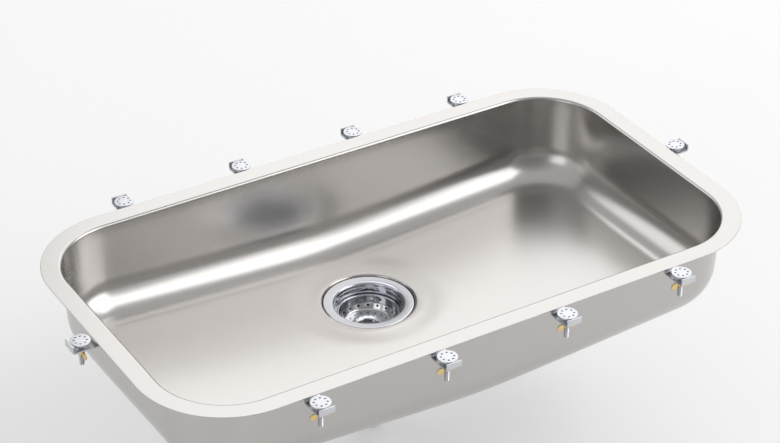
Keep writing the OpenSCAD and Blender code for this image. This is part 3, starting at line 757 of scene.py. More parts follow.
def drawn_steel(name, colour, recess_r):
    """Satin steel, polished along the sink and down its end walls, and burnished by the drain."""
    look = Finish(name)
    centred = look.add(
        "ShaderNodeVectorMath", {0: look.place, 1: (0, drain_y(), 0)}, operation="SUBTRACT"
    )
    x, y = look.part(centred, "X"), look.part(centred, "Y")
    from_drain = x.maths("SQRT", x * x + y * y)
    satin = x.maths("MULTIPLY", from_drain - recess_r, 1 / SATIN_START, use_clamp=True)
    normal = look.add("ShaderNodeNewGeometry", output="Normal")
    across = look.part(normal, "X")
    end_wall = across.maths("ABSOLUTE", across)
    long, fine = GRAIN_STRETCH
    along = look.noise(60, 4, (long, fine, fine))
    down = look.noise(60, 4, (fine, long, fine))
    grain = along * (1 - end_wall) + down * end_wall
    cloud = look.noise(7, 2)
    roughness = 0.06 + satin * (grain * 0.06 + cloud * 0.04 + 0.13)
    shade = look.shades(colour, cloud, 0.03)
    return look.surface(shade, roughness, grain * satin, 0.001 * MM, Metallic=1.0)


def plated(name, colour, roughness, grain_scale, relief, spread):
    """A plated or polished metal with fine marks and faint cloudiness."""
    look = Finish(name)
    grain = look.noise(grain_scale, 4)
    cloud = look.noise(35, 2)
    rough = roughness + grain * roughness * 0.5 + cloud * roughness * 0.4
    shade = look.shades(colour, cloud, spread)
    return look.surface(shade, rough, grain, relief, Metallic=1.0)


def cast(name, colour, roughness, relief):
    """A cast metal with the pitted skin of its mould, and painted shade darkening the colour in
    its pits.
    """
    look = Finish(name)
    pits = look.cells(900)
    cloud = look.noise(60, 3)
    # The pits darken the colour as well as the surface: painted shade in the pits, mixed with
    # random cloudy tone
    shade = look.shades(colour, pits * 0.6 + cloud * 0.4, 0.12)
    return look.surface(shade, roughness + cloud * 0.15, pits, relief, Metallic=1.0)


def rubber(name, colour, roughness, relief, speckle):
    """Moulded rubber with a fine matt skin."""
    look = Finish(name)
    skin = look.noise(1400, 3)
    dust = look.noise(45, 4)
    shade = look.shades(colour, dust * 0.7 + skin * 0.3, speckle)
    return look.surface(shade, roughness + dust * 0.15, skin, relief, Specular_IOR_Level=0.35)


def pressed_fibre(name, colour):
    """Pressed fibre board, flecked with its strands."""
    look = Finish(name)
    strands = look.noise(500, 4, (1, 0.25, 1))
    flecks = look.cells(420)
    mottle = strands * 0.65 + flecks * 0.5
    shade = look.shades(colour, mottle, 0.35)
    return look.surface(shade, 0.75 + strands * 0.15, mottle, 0.05 * MM, Specular_IOR_Level=0.25)


def soft_plastic(name, colour, relief):
    """Pale plastic or compound with a faintly uneven skin."""
    look = Finish(name)
    skin = look.noise(260, 3)
    shade = look.shades(colour, look.noise(50, 2), 0.04)
    return look.surface(shade, 0.4 + skin * 0.2, skin, relief, Specular_IOR_Level=0.4)


def waffled_rubber(name, colour):
    """Sound-deadening rubber pressed with a square grid, with painted shade darkening the colour
    in the grid's grooves.
    """
    look = Finish(name)
    ridges = []
    for axis in "XY":
        way = look.part(look.place, axis)
        wave = way.maths("SINE", way * (math.tau / WAFFLE_PITCH))
        ridges.append(wave.maths("POWER", wave.maths("ABSOLUTE", wave), 0.35))
    grid = ridges[0].maths("MINIMUM", ridges[0], ridges[1])
    dust = look.noise(40, 4)
    # The grid darkens the colour as well as sinking the grooves: painted shade in the grooves,
    # mixed with the dust
    shade = look.shades(colour, dust * 0.6 + grid * 0.4, 0.3)
    return look.surface(shade, 0.55 + dust * 0.2, grid, 0.35 * MM, Specular_IOR_Level=0.4)


def finish_called(name):
    """The finished material of that name, made on first use beside the frame's plain one."""
    label = f"{name}_finish"
    if label not in bpy.data.materials:
        tints, sizes = bpy.context.scene.sink.finish, bpy.context.scene.sink.bowl
        maker, *values = {
            "drawn_steel": (drawn_steel, tints.drawn_steel, sizes.recess_r + sizes.recess_edge_r),
            "bright_chrome": (plated, tints.chrome, 0.025, 300, 0.0003 * MM, 0.01),
            "tube_chrome": (plated, tints.tube_chrome, 0.09, 700, 0.004 * MM, 0.02),
            "basket_steel": (plated, tints.basket_steel, 0.07, 300, 0.0005 * MM, 0.02),
            "fitting_steel": (plated, tints.fitting_steel, 0.26, 500, 0.02 * MM, 0.08),
            "brass": (plated, tints.brass, 0.22, 500, 0.02 * MM, 0.06),
            "zinc": (cast, tints.zinc, 0.36, 0.05 * MM),
            "black_rubber": (rubber, tints.black_rubber, 0.5, 0.02 * MM, 0.35),
            "pad_rubber": (waffled_rubber, tints.pad_rubber),
            "fibre": (pressed_fibre, tints.fibre),
            "white_plastic": (soft_plastic, tints.white_plastic, 0.02 * MM),
            "bedding": (soft_plastic, tints.bedding, 0.12 * MM),
        }[name]
        maker(label, *values)
    return bpy.data.materials[label]


# ---- The bowl ----


def drain_y():
    """The drain's place behind the middle, as the frame has it."""
    low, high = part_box("strainer_body")
    return (low.y + high.y) / 2


class Bowl:
    """Rings of the drawn sheet, on its top face and at any depth in the metal."""

    def __init__(self, sizes):
        self.s = sizes
        self.straight_x = sizes.opening_l / 2 - sizes.corner_r
        self.straight_y = sizes.opening_w / 2 - sizes.corner_r
        self.foot_inset = sizes.wall_lean + sizes.sweep_r
        self.rim_r = sizes.recess_r + sizes.recess_edge_r
        self.drain_y = drain_y()
        self.recess_z = -sizes.depth - sizes.recess_depth

    def floor_z(self, x, y):
        """Two slopes that meet in a soft valley and level out round the recess."""
        s = self.s
        soft_x = math.hypot(x, s.valley_w) - s.valley_w
        soft_y = math.hypot(y - self.drain_y, s.valley_w) - s.valley_w
        way = (math.hypot(x, y - self.drain_y) - self.rim_r) / s.apron_w
        way = min(1, max(0, way))
        return (s.fall_long * soft_x + s.fall_cross * soft_y) * way * way * (3 - 2 * way) - s.depth

    def outline(self, inset):
        """The opening's outline, moved in by inset."""
        return round_rect(
            self.straight_x, self.straight_y, self.s.corner_r - inset,
            CORNER_STEPS, LONG_STEPS, SHORT_STEPS,
        )

    def level_ring(self, inset, z):
        """The outline at one height."""
        return [Vector((p.x, p.y, z)) for p in self.outline(inset)]

    def sweep_ring(self, inset, height):
        """The outline at a height above the floor below it."""
        return [Vector((p.x, p.y, self.floor_z(p.x, p.y) + height)) for p in self.outline(inset)]

    def drain_ring(self, radius, z):
        """A circle about the drain whose points match the outline's."""
        turns = [math.tau * (k + SHORT_STEPS / 2) / RING_COUNT for k in range(RING_COUNT)]
        return [
            Vector((radius * math.cos(a), self.drain_y + radius * math.sin(a), z)) for a in turns
        ]

    def floor_ring(self, part, depth):
        """A ring on the floor, part of the way from the sweep's foot to the recess."""
        points = zip(self.outline(self.foot_inset), self.drain_ring(self.rim_r, 0))
        mixed = [foot.lerp(rim.to_2d(), part) for foot, rim in points]
        return [Vector((p.x, p.y, self.floor_z(p.x, p.y) - depth)) for p in mixed]

    def face(self, depth):
        """One face of the sheet, from just inside the flange's edge to the drain hole."""
        s = self.s
        rings = [self.level_ring(-s.flange_w + 2 * s.rim_edge_r, -depth)]
        rings.append(self.level_ring(-s.bend_r - s.rim_edge_r, -depth))
        bend = arc(-s.bend_r, -s.bend_r, s.bend_r - depth, 90, 0, BEND_STEPS)
        rings += [self.level_ring(p.x, p.y) for p in bend]
        sweep = arc(self.foot_inset, s.sweep_r, s.sweep_r + depth, 180, 270, SWEEP_STEPS)
        top = self.sweep_ring(sweep[0].x, sweep[0].y)
        for k in range(1, WALL_STEPS):
            rings.append([a.lerp(b, k / WALL_STEPS) for a, b in zip(rings[-k], top)])
        rings.append(top)
        rings += [self.sweep_ring(p.x, p.y) for p in sweep[1:]]
        rings += [self.floor_ring(k / FLOOR_STEPS, depth) for k in range(1, FLOOR_STEPS + 1)]
        edge_r, corner_r = s.recess_edge_r, s.recess_corner_r
        edge = arc(self.rim_r, -s.depth - edge_r, edge_r - depth, 90, 180, EDGE_STEPS)
        rings += [self.drain_ring(p.x, p.y) for p in edge[1:]]
        corner_z = self.recess_z + corner_r
        corner = arc(s.recess_r - corner_r, corner_z, corner_r + depth, 0, -90, EDGE_STEPS)
        rings += [self.drain_ring(p.x, p.y) for p in corner]
        rings.append(self.drain_ring(s.hole_r, self.recess_z - depth))
        return rings

    def shape(self):
        """The whole sheet as one closed skin."""
        s = self.s
        edge_x = -s.flange_w + s.rim_edge_r
        upper = arc(edge_x, -s.rim_edge_r, s.rim_edge_r, 180, 90, EDGE_STEPS)
        lower = arc(edge_x, -s.sheet_t + s.rim_edge_r, s.rim_edge_r, 270, 180, EDGE_STEPS)
        rings = [self.level_ring(p.x, p.y) for p in upper]
        rings += self.face(0) + self.face(s.sheet_t)[::-1]
        rings += [self.level_ring(p.x, p.y) for p in lower]
        return ring_shape(rings)


class SINK_OT_bowl(bpy.types.Operator):
    """Draw the steel bowl with its flange, sloping floor and drain recess"""

    bl_idname = "sink.bowl"
    bl_label = "Drawn Bowl"

    def execute(self, context):
        shape = Bowl(context.scene.sink.bowl).shape()
        piece = new_piece("drawn_bowl", shape)
        hand_over(piece, finish_called("drawn_steel"), "sink", "drawn_steel", "bowl")
        return {"FINISHED"}


class SINK_OT_sound_pads(bpy.types.Operator):
    """Glue the two rubber sound pads under the sloping floor"""

    bl_idname = "sink.sound_pads"
    bl_label = "Sound Pads"

    def execute(self, context):
        s = context.scene.sink.bowl
        bowl = Bowl(s)
        r = s.pad_corner_r
        pad_l = s.pad_long * (s.opening_l / 2 - bowl.foot_inset - s.pad_from_drain)
        near = s.sheet_t + s.pad_gap
        edge = s.pad_t / 3
        lower = arc(edge, near + s.pad_t - edge, edge, 180, 90, EDGE_STEPS)
        rings = [(0, part, near) for part in (0, 0.25, 0.5, 0.75, 1)]
        rings += [(p.x, 1, p.y) for p in lower]
        rings += [(edge, part, near + s.pad_t) for part in (0.75, 0.5, 0.25, 0)]
        for side, name in ((-1, "left"), (1, "right")):
            middle = side * (s.pad_from_drain + pad_l / 2)

            def on_floor(inset, part, down):
                outline = round_rect(pad_l / 2 - r, s.pad_w / 2 - r, r - inset, 8, 16, 18)
                spots = [(middle + p.x * part, p.y * part) for p in outline]
                return [Vector((x, y, bowl.floor_z(x, y) - down)) for x, y in spots]

            shape = ring_shape([on_floor(*ring) for ring in rings], False)
            piece = new_piece(f"pad_{name}", shape, merge=True)
            finish = finish_called("pad_rubber")
            hand_over(piece, finish, "sink", "pad_rubber", f"sound_pad_{name}")
        return {"FINISHED"}


# ---- The drain ----


def set_on_drain(made, body):
    """Moves pieces to the drain's axis and hands each over with its finish and its node."""
    for piece, finish, node in made:
        shifted(piece, (0, drain_y(), 0))
        hand_over(piece, finish_called(finish), body, finish, node)


def drain_levels(settings):
    """Heights of the drain's pieces, each from the one that it rests on."""
    bowl, drain, basket = settings.bowl, settings.drain, settings.basket
    at = SimpleNamespace()
    at.recess = -bowl.depth - bowl.recess_depth
    at.flange_top = at.recess + drain.bed_t + drain.flange_t
    at.gasket = at.recess - bowl.sheet_t - drain.gasket_t
    at.fibre = at.gasket - drain.fibre_t
    at.lock_nut = at.fibre - drain.lock_nut_h
    at.seat = at.flange_top - drain.seat_depth
    at.barrel_end = at.flange_top - drain.flange_t - drain.barrel_len
    at.cup_floor = at.flange_top - drain.cup_depth
    at.cup_foot = at.cup_floor - drain.cup_wall
    at.outlet_end = at.cup_floor - drain.outlet_len
    at.tail_top = at.outlet_end - drain.tail_seal_t
    at.coupling = at.tail_top - drain.tail_wall - drain.coupling_lip_t
    at.bar_top = at.cup_floor - drain.bar_drop
    at.wall_foot = at.seat - basket.wall_h
    at.band_foot = at.wall_foot - basket.band_h
    at.well_top = at.band_foot - basket.floor_drop
    at.well_floor = at.well_top - basket.well_depth
    at.hub = at.well_floor - basket.sheet_t - basket.hub_down
    at.knob = at.well_floor + basket.hub_up
    at.knob_top = at.knob + basket.knob_h
    at.stopper = at.cup_floor + basket.seal_gap
    at.stopper_top = at.stopper + basket.stopper_t
    at.collar = at.stopper_top + basket.washer_t
    at.stem_top = at.knob_top - basket.knob_head_t
    at.stem_end = at.bar_top - basket.stem_reach
    return at


def strainer_outline(d, at):
    """Closed outline of the cast cup, from the foot of its barrel round the inside."""
    lip = d.flange_t / 3
    step = d.throat_lean + d.ledge_w
    core = d.barrel_r - d.thread_depth
    outlet_core = d.outlet_thread_r - d.thread_depth
    corners = [
        (core, at.barrel_end, 0),
        (core, at.flange_top - d.flange_t, 0),
        (d.flange_r, at.flange_top - d.flange_t, lip),
        (d.flange_r, at.flange_top, lip),
        (d.throat_r, at.flange_top - d.flange_dish, d.throat_bend_r),
    ]
    for k, ledge in enumerate((d.upper_ledge, d.lower_ledge)):
        z = at.flange_top - ledge
        corners += [
            (d.throat_r - d.throat_lean - k * step, z, d.ledge_w / 3),
            (d.throat_r - (k + 1) * step, z - d.ledge_w / 2, d.ledge_w / 3),
        ]
    corners += [
        (d.throat_r - d.throat_lean - 2 * step, at.seat, EDGE),
        (d.cup_r, at.seat, BLUNT_EDGE),
        (d.cup_r, at.cup_floor, d.cup_fillet_r),
        (d.outlet_r, at.cup_floor, lip),
        (d.outlet_r, at.outlet_end, EDGE),
        (outlet_core, at.outlet_end, EDGE),
        (outlet_core, at.cup_foot, lip),
        (d.cup_r + d.cup_wall, at.cup_foot, d.cup_fillet_r + d.cup_wall),
        (d.cup_r + d.cup_wall, at.barrel_end - d.cup_wall, lip),
    ]
    return rounded(corners)


class SINK_OT_strainer(bpy.types.Operator):
    """Cast the strainer body with its threads and the guide bars in its outlet"""

    bl_idname = "sink.strainer"
    bl_label = "Strainer Body"

    def execute(self, context):
        settings = context.scene.sink
        d, at = settings.drain, drain_levels(settings)
        finish = finish_called("bright_chrome")
        eye = washer_outline(
            settings.basket.stem_r + 0.6 * MM, d.eye_r, at.bar_top - d.bar_h, d.bar_h, BLUNT_EDGE
        )
        shape = joined(turned_shape(strainer_outline(d, at)), turned_shape(eye, SMALL_SIDES))
        piece = new_piece("strainer_cup", shape)
        half = d.bar_w / 2
        bar = box_outline(-half, half, at.bar_top - d.bar_h, at.bar_top, SOFT_EDGE)
        arm = new_piece("arm", prism_shape(bar, d.eye_r - OVERLAP, d.outlet_r + OVERLAP, lying))
        ring_of_copies().apply(piece, Pattern=arm, Count=4, Finish=finish)
        thread = screw_thread()
        for crest, bottom, top in (
            (d.barrel_r, at.barrel_end + RUN_OUT, at.flange_top - d.flange_t - 2 * MM),
            (d.outlet_thread_r, at.outlet_end + RUN_OUT, at.cup_foot - 1.5 * MM),
        ):
            thread.apply(
                piece, Crest=crest, Depth=d.thread_depth, Pitch=d.thread_pitch,
                Length=top - bottom, Bottom=bottom, Finish=finish,
            )
        discard(arm)
        set_on_drain([(piece, "bright_chrome", "strainer_body")], "sink")
        return {"FINISHED"}


class SINK_OT_under_sink(bpy.types.Operator):
    """Set the rings, nuts and tailpiece below the bowl"""

    bl_idname = "sink.under_sink"
    bl_label = "Under-Sink Fittings"

    def lock_nut(self, d, at, thread_gap):
        """The big cast nut, with a collar and a ring of lugs for the spanner."""
        bore = d.barrel_r + thread_gap
        ring_r = bore + d.lock_nut_wall
        top = at.lock_nut + d.lock_nut_h
        soft = 0.6 * MM
        outline = rounded(
            [
                (bore, at.lock_nut, BLUNT_EDGE),
                (ring_r, at.lock_nut, soft),
                (ring_r, top - d.lock_collar_t, soft),
                (ring_r + d.lug_reach, top - d.lock_collar_t, soft),
                (ring_r + d.lug_reach, top, soft),
                (bore, top, BLUNT_EDGE),
            ],
            4,
        )
        piece = new_piece("big_nut", turned_shape(outline))
        half = d.lug_w / 2
        block = box_outline(-half, half, at.lock_nut, top - d.lock_collar_t / 2, soft, 3)
        outer = ring_r + d.lug_reach - SOFT_EDGE
        lug = new_piece("lug", prism_shape(block, ring_r - OVERLAP, outer, lying))
        bevelled(lug, soft / 2)
        finish = finish_called("zinc")
        ring_of_copies().apply(piece, Pattern=lug, Count=d.lug_count, Finish=finish)
        discard(lug)
        return piece

    def coupling_nut(self, d, at, thread_gap):
        """The six-sided nut on the outlet, bored for the tube below and the thread above."""
        flat_r = d.outlet_thread_r + thread_gap + d.coupling_wall
        top = at.coupling + d.coupling_h
        round_r = flat_r + d.coupling_wall / 2
        chamfer = d.coupling_wall / 3
        rings = []
        for z, reach in (
            (at.coupling, round_r - chamfer),
            (at.coupling + chamfer, round_r),
            (top - chamfer, round_r),
            (top, round_r - chamfer),
        ):
            ring = []
            for k in range(SIDES):
                a = math.tau * k / SIDES
                to_flat = (a + math.pi / 6) % (math.pi / 3) - math.pi / 6
                flat = flat_r / math.cos(to_flat - math.copysign(math.pi / 6, to_flat))
                r = min(flat, reach)
                ring.append(Vector((r * math.cos(a), r * math.sin(a), z)))
            rings.append(ring)
        inside = rounded(
            [
                (d.outlet_thread_r + thread_gap, top, 0),
                (d.outlet_thread_r + thread_gap, at.coupling + d.coupling_lip_t, EDGE),
                (d.tail_r + thread_gap, at.coupling + d.coupling_lip_t, EDGE),
                (d.tail_r + thread_gap, at.coupling, 0),
            ]
        )
        rings += [circle(p.x, p.y, SIDES) for p in inside]
        piece = new_piece("slip_nut", ring_shape(rings))
        return bevelled(piece, 0.35 * MM)

    def execute(self, context):
        settings = context.scene.sink
        b, d, at = settings.bowl, settings.drain, drain_levels(settings)
        gap = settings.clip.thread_gap
        outer = b.hole_r + d.gasket_w
        flange_r, inside_r = d.outlet_thread_r - gap, d.tail_r - d.tail_wall
        neck_z, end_z = at.tail_top - d.tail_neck_l, at.tail_top - d.tail_len
        tube = rounded(
            [
                (flange_r, at.tail_top, EDGE),
                (inside_r, at.tail_top, d.tail_wall),
                (inside_r, end_z, EDGE),
                (d.tail_r, end_z, EDGE),
                (d.tail_r, neck_z, FINE_EDGE),
                (d.tail_r - d.tail_neck, neck_z + d.tail_neck, FINE_EDGE),
                (d.tail_r - d.tail_neck, at.tail_top - d.tail_wall, FINE_EDGE),
                (flange_r, at.tail_top - d.tail_wall, EDGE),
            ]
        )
        bed_r = d.flange_r - b.recess_corner_r
        # Node, finish, inner and outer radius, bottom, height and rounding of each flat ring
        washers = (
            ("bedding_ring", "bedding", b.hole_r, bed_r, at.recess, d.bed_t, 0.15 * MM),
            ("rubber_gasket", "black_rubber", b.hole_r, outer, at.gasket, d.gasket_t, 0.9 * MM),
            ("fibre_washer", "fibre", b.hole_r, outer, at.fibre, d.fibre_t, FINE_EDGE),
            (
                "tailpiece_seal", "white_plastic",
                inside_r, flange_r, at.tail_top, d.tail_seal_t, BLUNT_EDGE,
            ),
        )
        rings = [(node, finish, washer_outline(*sizes)) for node, finish, *sizes in washers]
        rings.append(("tailpiece", "tube_chrome", tube))
        made = [
            (new_piece(f"{node}_ring", turned_shape(outline)), finish, node)
            for node, finish, outline in rings
        ]
        made.append((self.lock_nut(d, at, gap), "zinc", "lock_nut"))
        made.append((self.coupling_nut(d, at, gap), "zinc", "coupling_nut"))
        set_on_drain(made, "sink")
        return {"FINISHED"}


# ---- The basket and its stopper ----


class SINK_OT_basket(bpy.types.Operator):
    """Press the lift-out basket, drill its two rows of holes and rivet in its hub"""

    bl_idname = "sink.basket"
    bl_label = "Basket"

    def drill(self, name, radius, length, place):
        """A drill whose axis place turns into the hole's own."""
        corners = ((0, -length), (radius, -length), (radius, length), (0, length))
        piece = new_piece(name, turned_shape([Vector(p) for p in corners], DRILL_SIDES))
        piece.data.transform(place)
        return piece

    def execute(self, context):
        settings = context.scene.sink
        d, s, at = settings.drain, settings.basket, drain_levels(settings)
        wall_top_r = d.cup_r - s.clear - s.sheet_t
        wall_foot_r = wall_top_r - s.wall_lean
        bead_r = (s.rim_w + s.sheet_t) / 2
        rim_r = wall_top_r + s.sheet_t + s.rim_w
        inner = [
            (wall_top_r, at.seat + bead_r, 0),
            (wall_foot_r, at.wall_foot, s.band_bend_r),
            (wall_foot_r - s.band_w, at.band_foot, s.floor_bend_r),
            (s.well_r, at.well_top, s.well_bend_r),
            (s.well_r - s.well_lean, at.well_floor, s.well_bend_r),
            (s.hub_waist_r, at.well_floor, 0),
        ]
        outer = [p for p in rounded(moved(inner, -s.sheet_t))[::-1] if p.y < at.seat]
        seat = [Vector((wall_top_r + s.sheet_t, at.seat)), Vector((rim_r - bead_r / 2, at.seat))]
        bead = arc(rim_r - bead_r, at.seat + bead_r, bead_r, -30, 160, 12)
        piece = new_piece("pressed_basket", turned_shape(rounded(inner) + outer + seat + bead))

        band = Vector((wall_foot_r, 0, at.wall_foot))
        big_row = band - Vector((s.band_w, 0, s.band_h)) * s.big_row
        tilt = Matrix.Rotation(math.pi / 2 + math.atan2(s.band_w, s.band_h), 4, "Y")
        reach = 4 * s.sheet_t
        big = self.drill("big_drill", s.big_hole_r, reach, Matrix.Translation(big_row) @ tilt)
        small_row = Matrix.Translation((s.small_row_r, 0, at.band_foot))
        small = self.drill("small_drill", s.small_hole_r, reach, small_row)
        drilled = drilled_ring()
        finish = finish_called("basket_steel")
        for drill in (big, small):
            drilled.apply(piece, Drill=drill, Count=s.hole_count, Finish=finish)
        discard(big, small)

        bore = s.stem_r + s.stem_clear
        waist = s.hub_waist_r - 0.15 * MM
        under_floor = at.well_floor - s.sheet_t
        groove_r = bore + 2 * s.grip_cord_r + s.stem_clear
        groove_z = at.hub + s.hub_down / 2
        half = s.grip_cord_r + 0.15 * MM
        hub = rounded(
            [
                (bore, at.knob, FINE_EDGE),
                (s.hub_r, at.knob, 0.35 * MM),
                (s.hub_r, at.well_floor, 0),
                (waist, at.well_floor, 0),
                (waist, under_floor, 0),
                (s.hub_r, under_floor, 0),
                (s.hub_r, at.hub, 0.6 * MM),
                (bore, at.hub, FINE_EDGE),
                (bore, groove_z - half, 0),
                (groove_r, groove_z - half, 0),
                (groove_r, groove_z + half, 0),
                (bore, groove_z + half, 0),
            ]
        )
        hub_piece = new_piece("riveted_hub", turned_shape(hub, SMALL_SIDES * 2))
        cord = arc(bore + s.grip_cord_r, groove_z, s.grip_cord_r, 0, 360, 16)[:-1]
        grip = new_piece("rubber_grip", turned_shape(cord, SMALL_SIDES * 2))
        made = [
            (piece, "basket_steel", "basket"),
            (hub_piece, "basket_steel", "basket_hub"),
            (grip, "black_rubber", "grip_ring"),
        ]
        set_on_drain(made, "basket")
        return {"FINISHED"}


class SINK_OT_stopper(bpy.types.Operator):
    """Make the knob, its stem and the rubber stopper that they lift"""

    bl_idname = "sink.stopper"
    bl_label = "Stopper"

    def outlines(self, s, d, at, gap):
        """Closed outline and finish of each piece on the stem."""
        edge = s.knob_head_t / 3
        head_z = at.knob_top - s.knob_head_t
        bore = s.stem_r + gap
        knob = [
            (0, at.knob_top - s.knob_dish, 0),
            (s.knob_r - 2 * edge, at.knob_top, edge / 2),
            (s.knob_r, at.knob_top, edge),
            (s.knob_r, head_z, edge),
            (s.knob_neck_r, head_z, edge / 2),
            (s.knob_neck_r, at.knob, 0),
            (bore, at.knob, 0),
            (bore, head_z, 0),
            (0, head_z, 0),
        ]
        stem = [
            (0, at.stem_top, 0),
            (s.stem_r, at.stem_top, 0),
            (s.stem_r, at.collar + s.collar_h, 0),
            (s.collar_r, at.collar + s.collar_h, THIN_EDGE),
            (s.collar_r, at.collar, 0),
            (s.stem_r, at.collar, 0),
            (s.stem_r, at.stem_end + s.stem_r / 2, SOFT_EDGE),
            (s.stem_r / 2, at.stem_end, EDGE),
            (0, at.stem_end, 0),
        ]
        soft = s.stopper_t / 4
        stopper = [
            (bore, at.stopper_top, 0),
            (s.washer_r + soft, at.stopper_top, soft),
            (s.stopper_r, at.stopper_top - 2 * soft, soft),
            (s.stopper_r, at.stopper, soft / 2),
            (d.outlet_r + 2 * soft, at.stopper, soft / 4),
            (d.outlet_r, at.stopper + soft, soft / 4),
            (d.outlet_r - 2 * soft, at.stopper, soft / 4),
            (bore, at.stopper, 0),
        ]
        disc = washer_outline(bore, s.washer_r, at.stopper_top, s.washer_t, THIN_EDGE)
        return {
            "knob": ("basket_steel", rounded(knob)),
            "stem": ("basket_steel", rounded(stem)),
            "stopper": ("black_rubber", rounded(stopper)),
            "stopper_washer": ("basket_steel", disc),
        }

    def execute(self, context):
        settings = context.scene.sink
        s, at = settings.basket, drain_levels(settings)
        gap = settings.clip.thread_gap
        made = [
            (new_piece(f"turned_{node}", turned_shape(outline, 96)), finish, node)
            for node, (finish, outline) in self.outlines(s, settings.drain, at, gap).items()
        ]
        bore = s.stem_r + gap
        bottom = at.stopper - s.nut_h
        corners = circle(s.nut_r, 0, 6)
        flats = zip(corners, corners[1:] + corners[:1])
        hexagon = [a + (b - a) * k / FLAT_STEPS for a, b in flats for k in range(FLAT_STEPS)]
        bored = [p.normalized() * bore for p in hexagon]
        levels = ((hexagon, bottom), (hexagon, at.stopper), (bored, at.stopper), (bored, bottom))
        rings = [[Vector((p.x, p.y, z)) for p in ring] for ring, z in levels]
        nut = bevelled(new_piece("hex_nut", ring_shape(rings)), THIN_EDGE)
        made.append((nut, "basket_steel", "stopper_nut"))
        set_on_drain(made, "stopper")
        return {"FINISHED"}


# ---- The clips ----


class SINK_OT_clips(bpy.types.Operator):
    """Make one stud, strip, washer and wing nut and stand a set at each place round the flange"""

    bl_idname = "sink.clips"
    bl_label = "Clips"

    def stud(self, c, stud_u):
        """Threaded stud on its drilled plate, at the origin."""
        finish = finish_called("fitting_steel")
        core = c.stud_r - c.stud_depth
        bottom = -c.plate_t - c.stud_l
        outline = rounded(
            [
                (0, 0, 0),
                (c.plate_r, 0, EDGE),
                (c.plate_r, -c.plate_t, EDGE),
                (c.stud_r + SOFT_EDGE, -c.plate_t, BLUNT_EDGE),
                (core, -c.plate_t - MM, EDGE),
                (core, bottom, SOFT_EDGE),
                (0, bottom, 0),
            ],
            4,
        )
        piece = new_piece("stud_pattern", turned_shape(outline, SMALL_SIDES))
        hole = [(0, -1), (1, -1), (1, 1), (0, 1)]
        reach = 2 * c.plate_t
        outline = [Vector((u * c.glue_hole_r, v * reach)) for u, v in hole]
        drill = new_piece("glue_drill", turned_shape(outline, DRILL_SIDES))
        half_turn = Matrix.Rotation(math.pi / c.glue_hole_count, 4, "Z")
        drill.data.transform(
            half_turn @ Matrix.Translation(((c.plate_r + c.stud_r) / 2, 0, -c.plate_t / 2))
        )
        drilled_ring().apply(piece, Drill=drill, Count=c.glue_hole_count, Finish=finish)
        discard(drill)
        screw_thread().apply(
            piece, Crest=c.stud_r, Depth=c.stud_depth, Pitch=c.stud_pitch,
            Length=c.stud_l - 2.5 * MM, Bottom=bottom + RUN_OUT, Finish=finish,
        )
        return shifted(piece, (stud_u, 0, 0))

    def strip(self, c, b, stud_u):
        """Folded strip from the toe under the flange to the heel on the worktop."""
        toe_end = c.toe_from_opening + c.toe_l
        heel_u = stud_u + c.plate_r + c.pass_gap
        run_z = -b.sheet_t - c.drop
        outline = sheet(
            [
                (c.toe_from_opening, -b.sheet_t, 0),
                (toe_end, -b.sheet_t, c.bend_r + c.strip_t),
                (toe_end + c.drop / 2, run_z, c.bend_r),
                (heel_u, run_z, c.bend_r),
                (heel_u, 0, 0),
            ],
            c.strip_t,
        )
        half = c.width / 2
        piece = new_piece(
            "strip_pattern", prism_shape(outline, -half, half, lambda u, v, h: (u, h, v))
        )
        slot_r = c.stud_r + c.pass_gap
        slot_end = c.slot_l / 2 - slot_r
        ends = arc(slot_end, 0, slot_r, -90, 90, 12) + arc(-slot_end, 0, slot_r, 90, 270, 12)
        low, high = run_z - 2 * c.strip_t, run_z + c.strip_t
        slot = new_piece(
            "slot_drill", prism_shape(ends, low, high, lambda u, v, h: (stud_u + u, v, h))
        )
        finish = finish_called("fitting_steel")
        drilled_ring().apply(piece, Drill=slot, Count=1, Finish=finish)
        discard(slot)
        return bevelled(piece, EDGE)

    def washer(self, c, nut_top, stud_u):
        """Flat washer between the strip and the wing nut."""
        bore = c.stud_r + c.thread_gap
        outline = washer_outline(bore, c.washer_r, nut_top, c.washer_t, THIN_EDGE)
        return new_piece("washer_pattern", turned_shape(outline, SMALL_SIDES), (stud_u, 0, 0))

    def wing_nut(self, c, nut_top, stud_u):
        """Cast body with two drooping wings."""
        bore = c.stud_r + c.thread_gap
        bottom = nut_top - c.wing_body_h
        body = rounded(
            [
                (bore, bottom, EDGE),
                (c.wing_body_r - c.wing_t / 2, bottom, 0.8 * MM),
                (c.wing_body_r, nut_top, EDGE),
                (bore, nut_top, EDGE),
            ],
            3,
        )
        root = bore + BLUNT_EDGE
        tip_u = c.wing_span / 2 - c.wing_tip_r
        tip_z = bottom + c.wing_tip_r - c.wing_body_h / 2
        wing = [Vector((root, bottom + EDGE))]
        wing += arc(tip_u, tip_z, c.wing_tip_r, -125, 90, 16)
        wing += [Vector((root, bottom + c.wing_tip_r + SOFT_EDGE))]
        half = c.wing_t / 2
        pattern = new_piece("wing", prism_shape(wing, -half, half, lying))
        bevelled(pattern, 0.7 * MM, 3)
        piece = new_piece("wing_nut_pattern", turned_shape(body, SMALL_SIDES))
        ring_of_copies().apply(piece, Pattern=pattern, Count=2, Finish=finish_called("brass"))
        discard(pattern)
        return shifted(piece, (stud_u, 0, 0))

    def places(self, c, b):
        """Points at the opening's edge and the turn that faces each away from the bowl."""
        x, y = b.opening_l / 2, b.opening_w / 2
        straight = x - b.corner_r
        gaps = c.long_count - 1
        shares = [c.long_share * (2 * k / gaps - 1) for k in range(c.long_count)]
        found = [((x, 0, 0), 0.0), ((-x, 0, 0), math.pi)]
        for side in (1, -1):
            found += [((s * straight, side * y, 0), side * math.pi / 2) for s in shares]
        return found

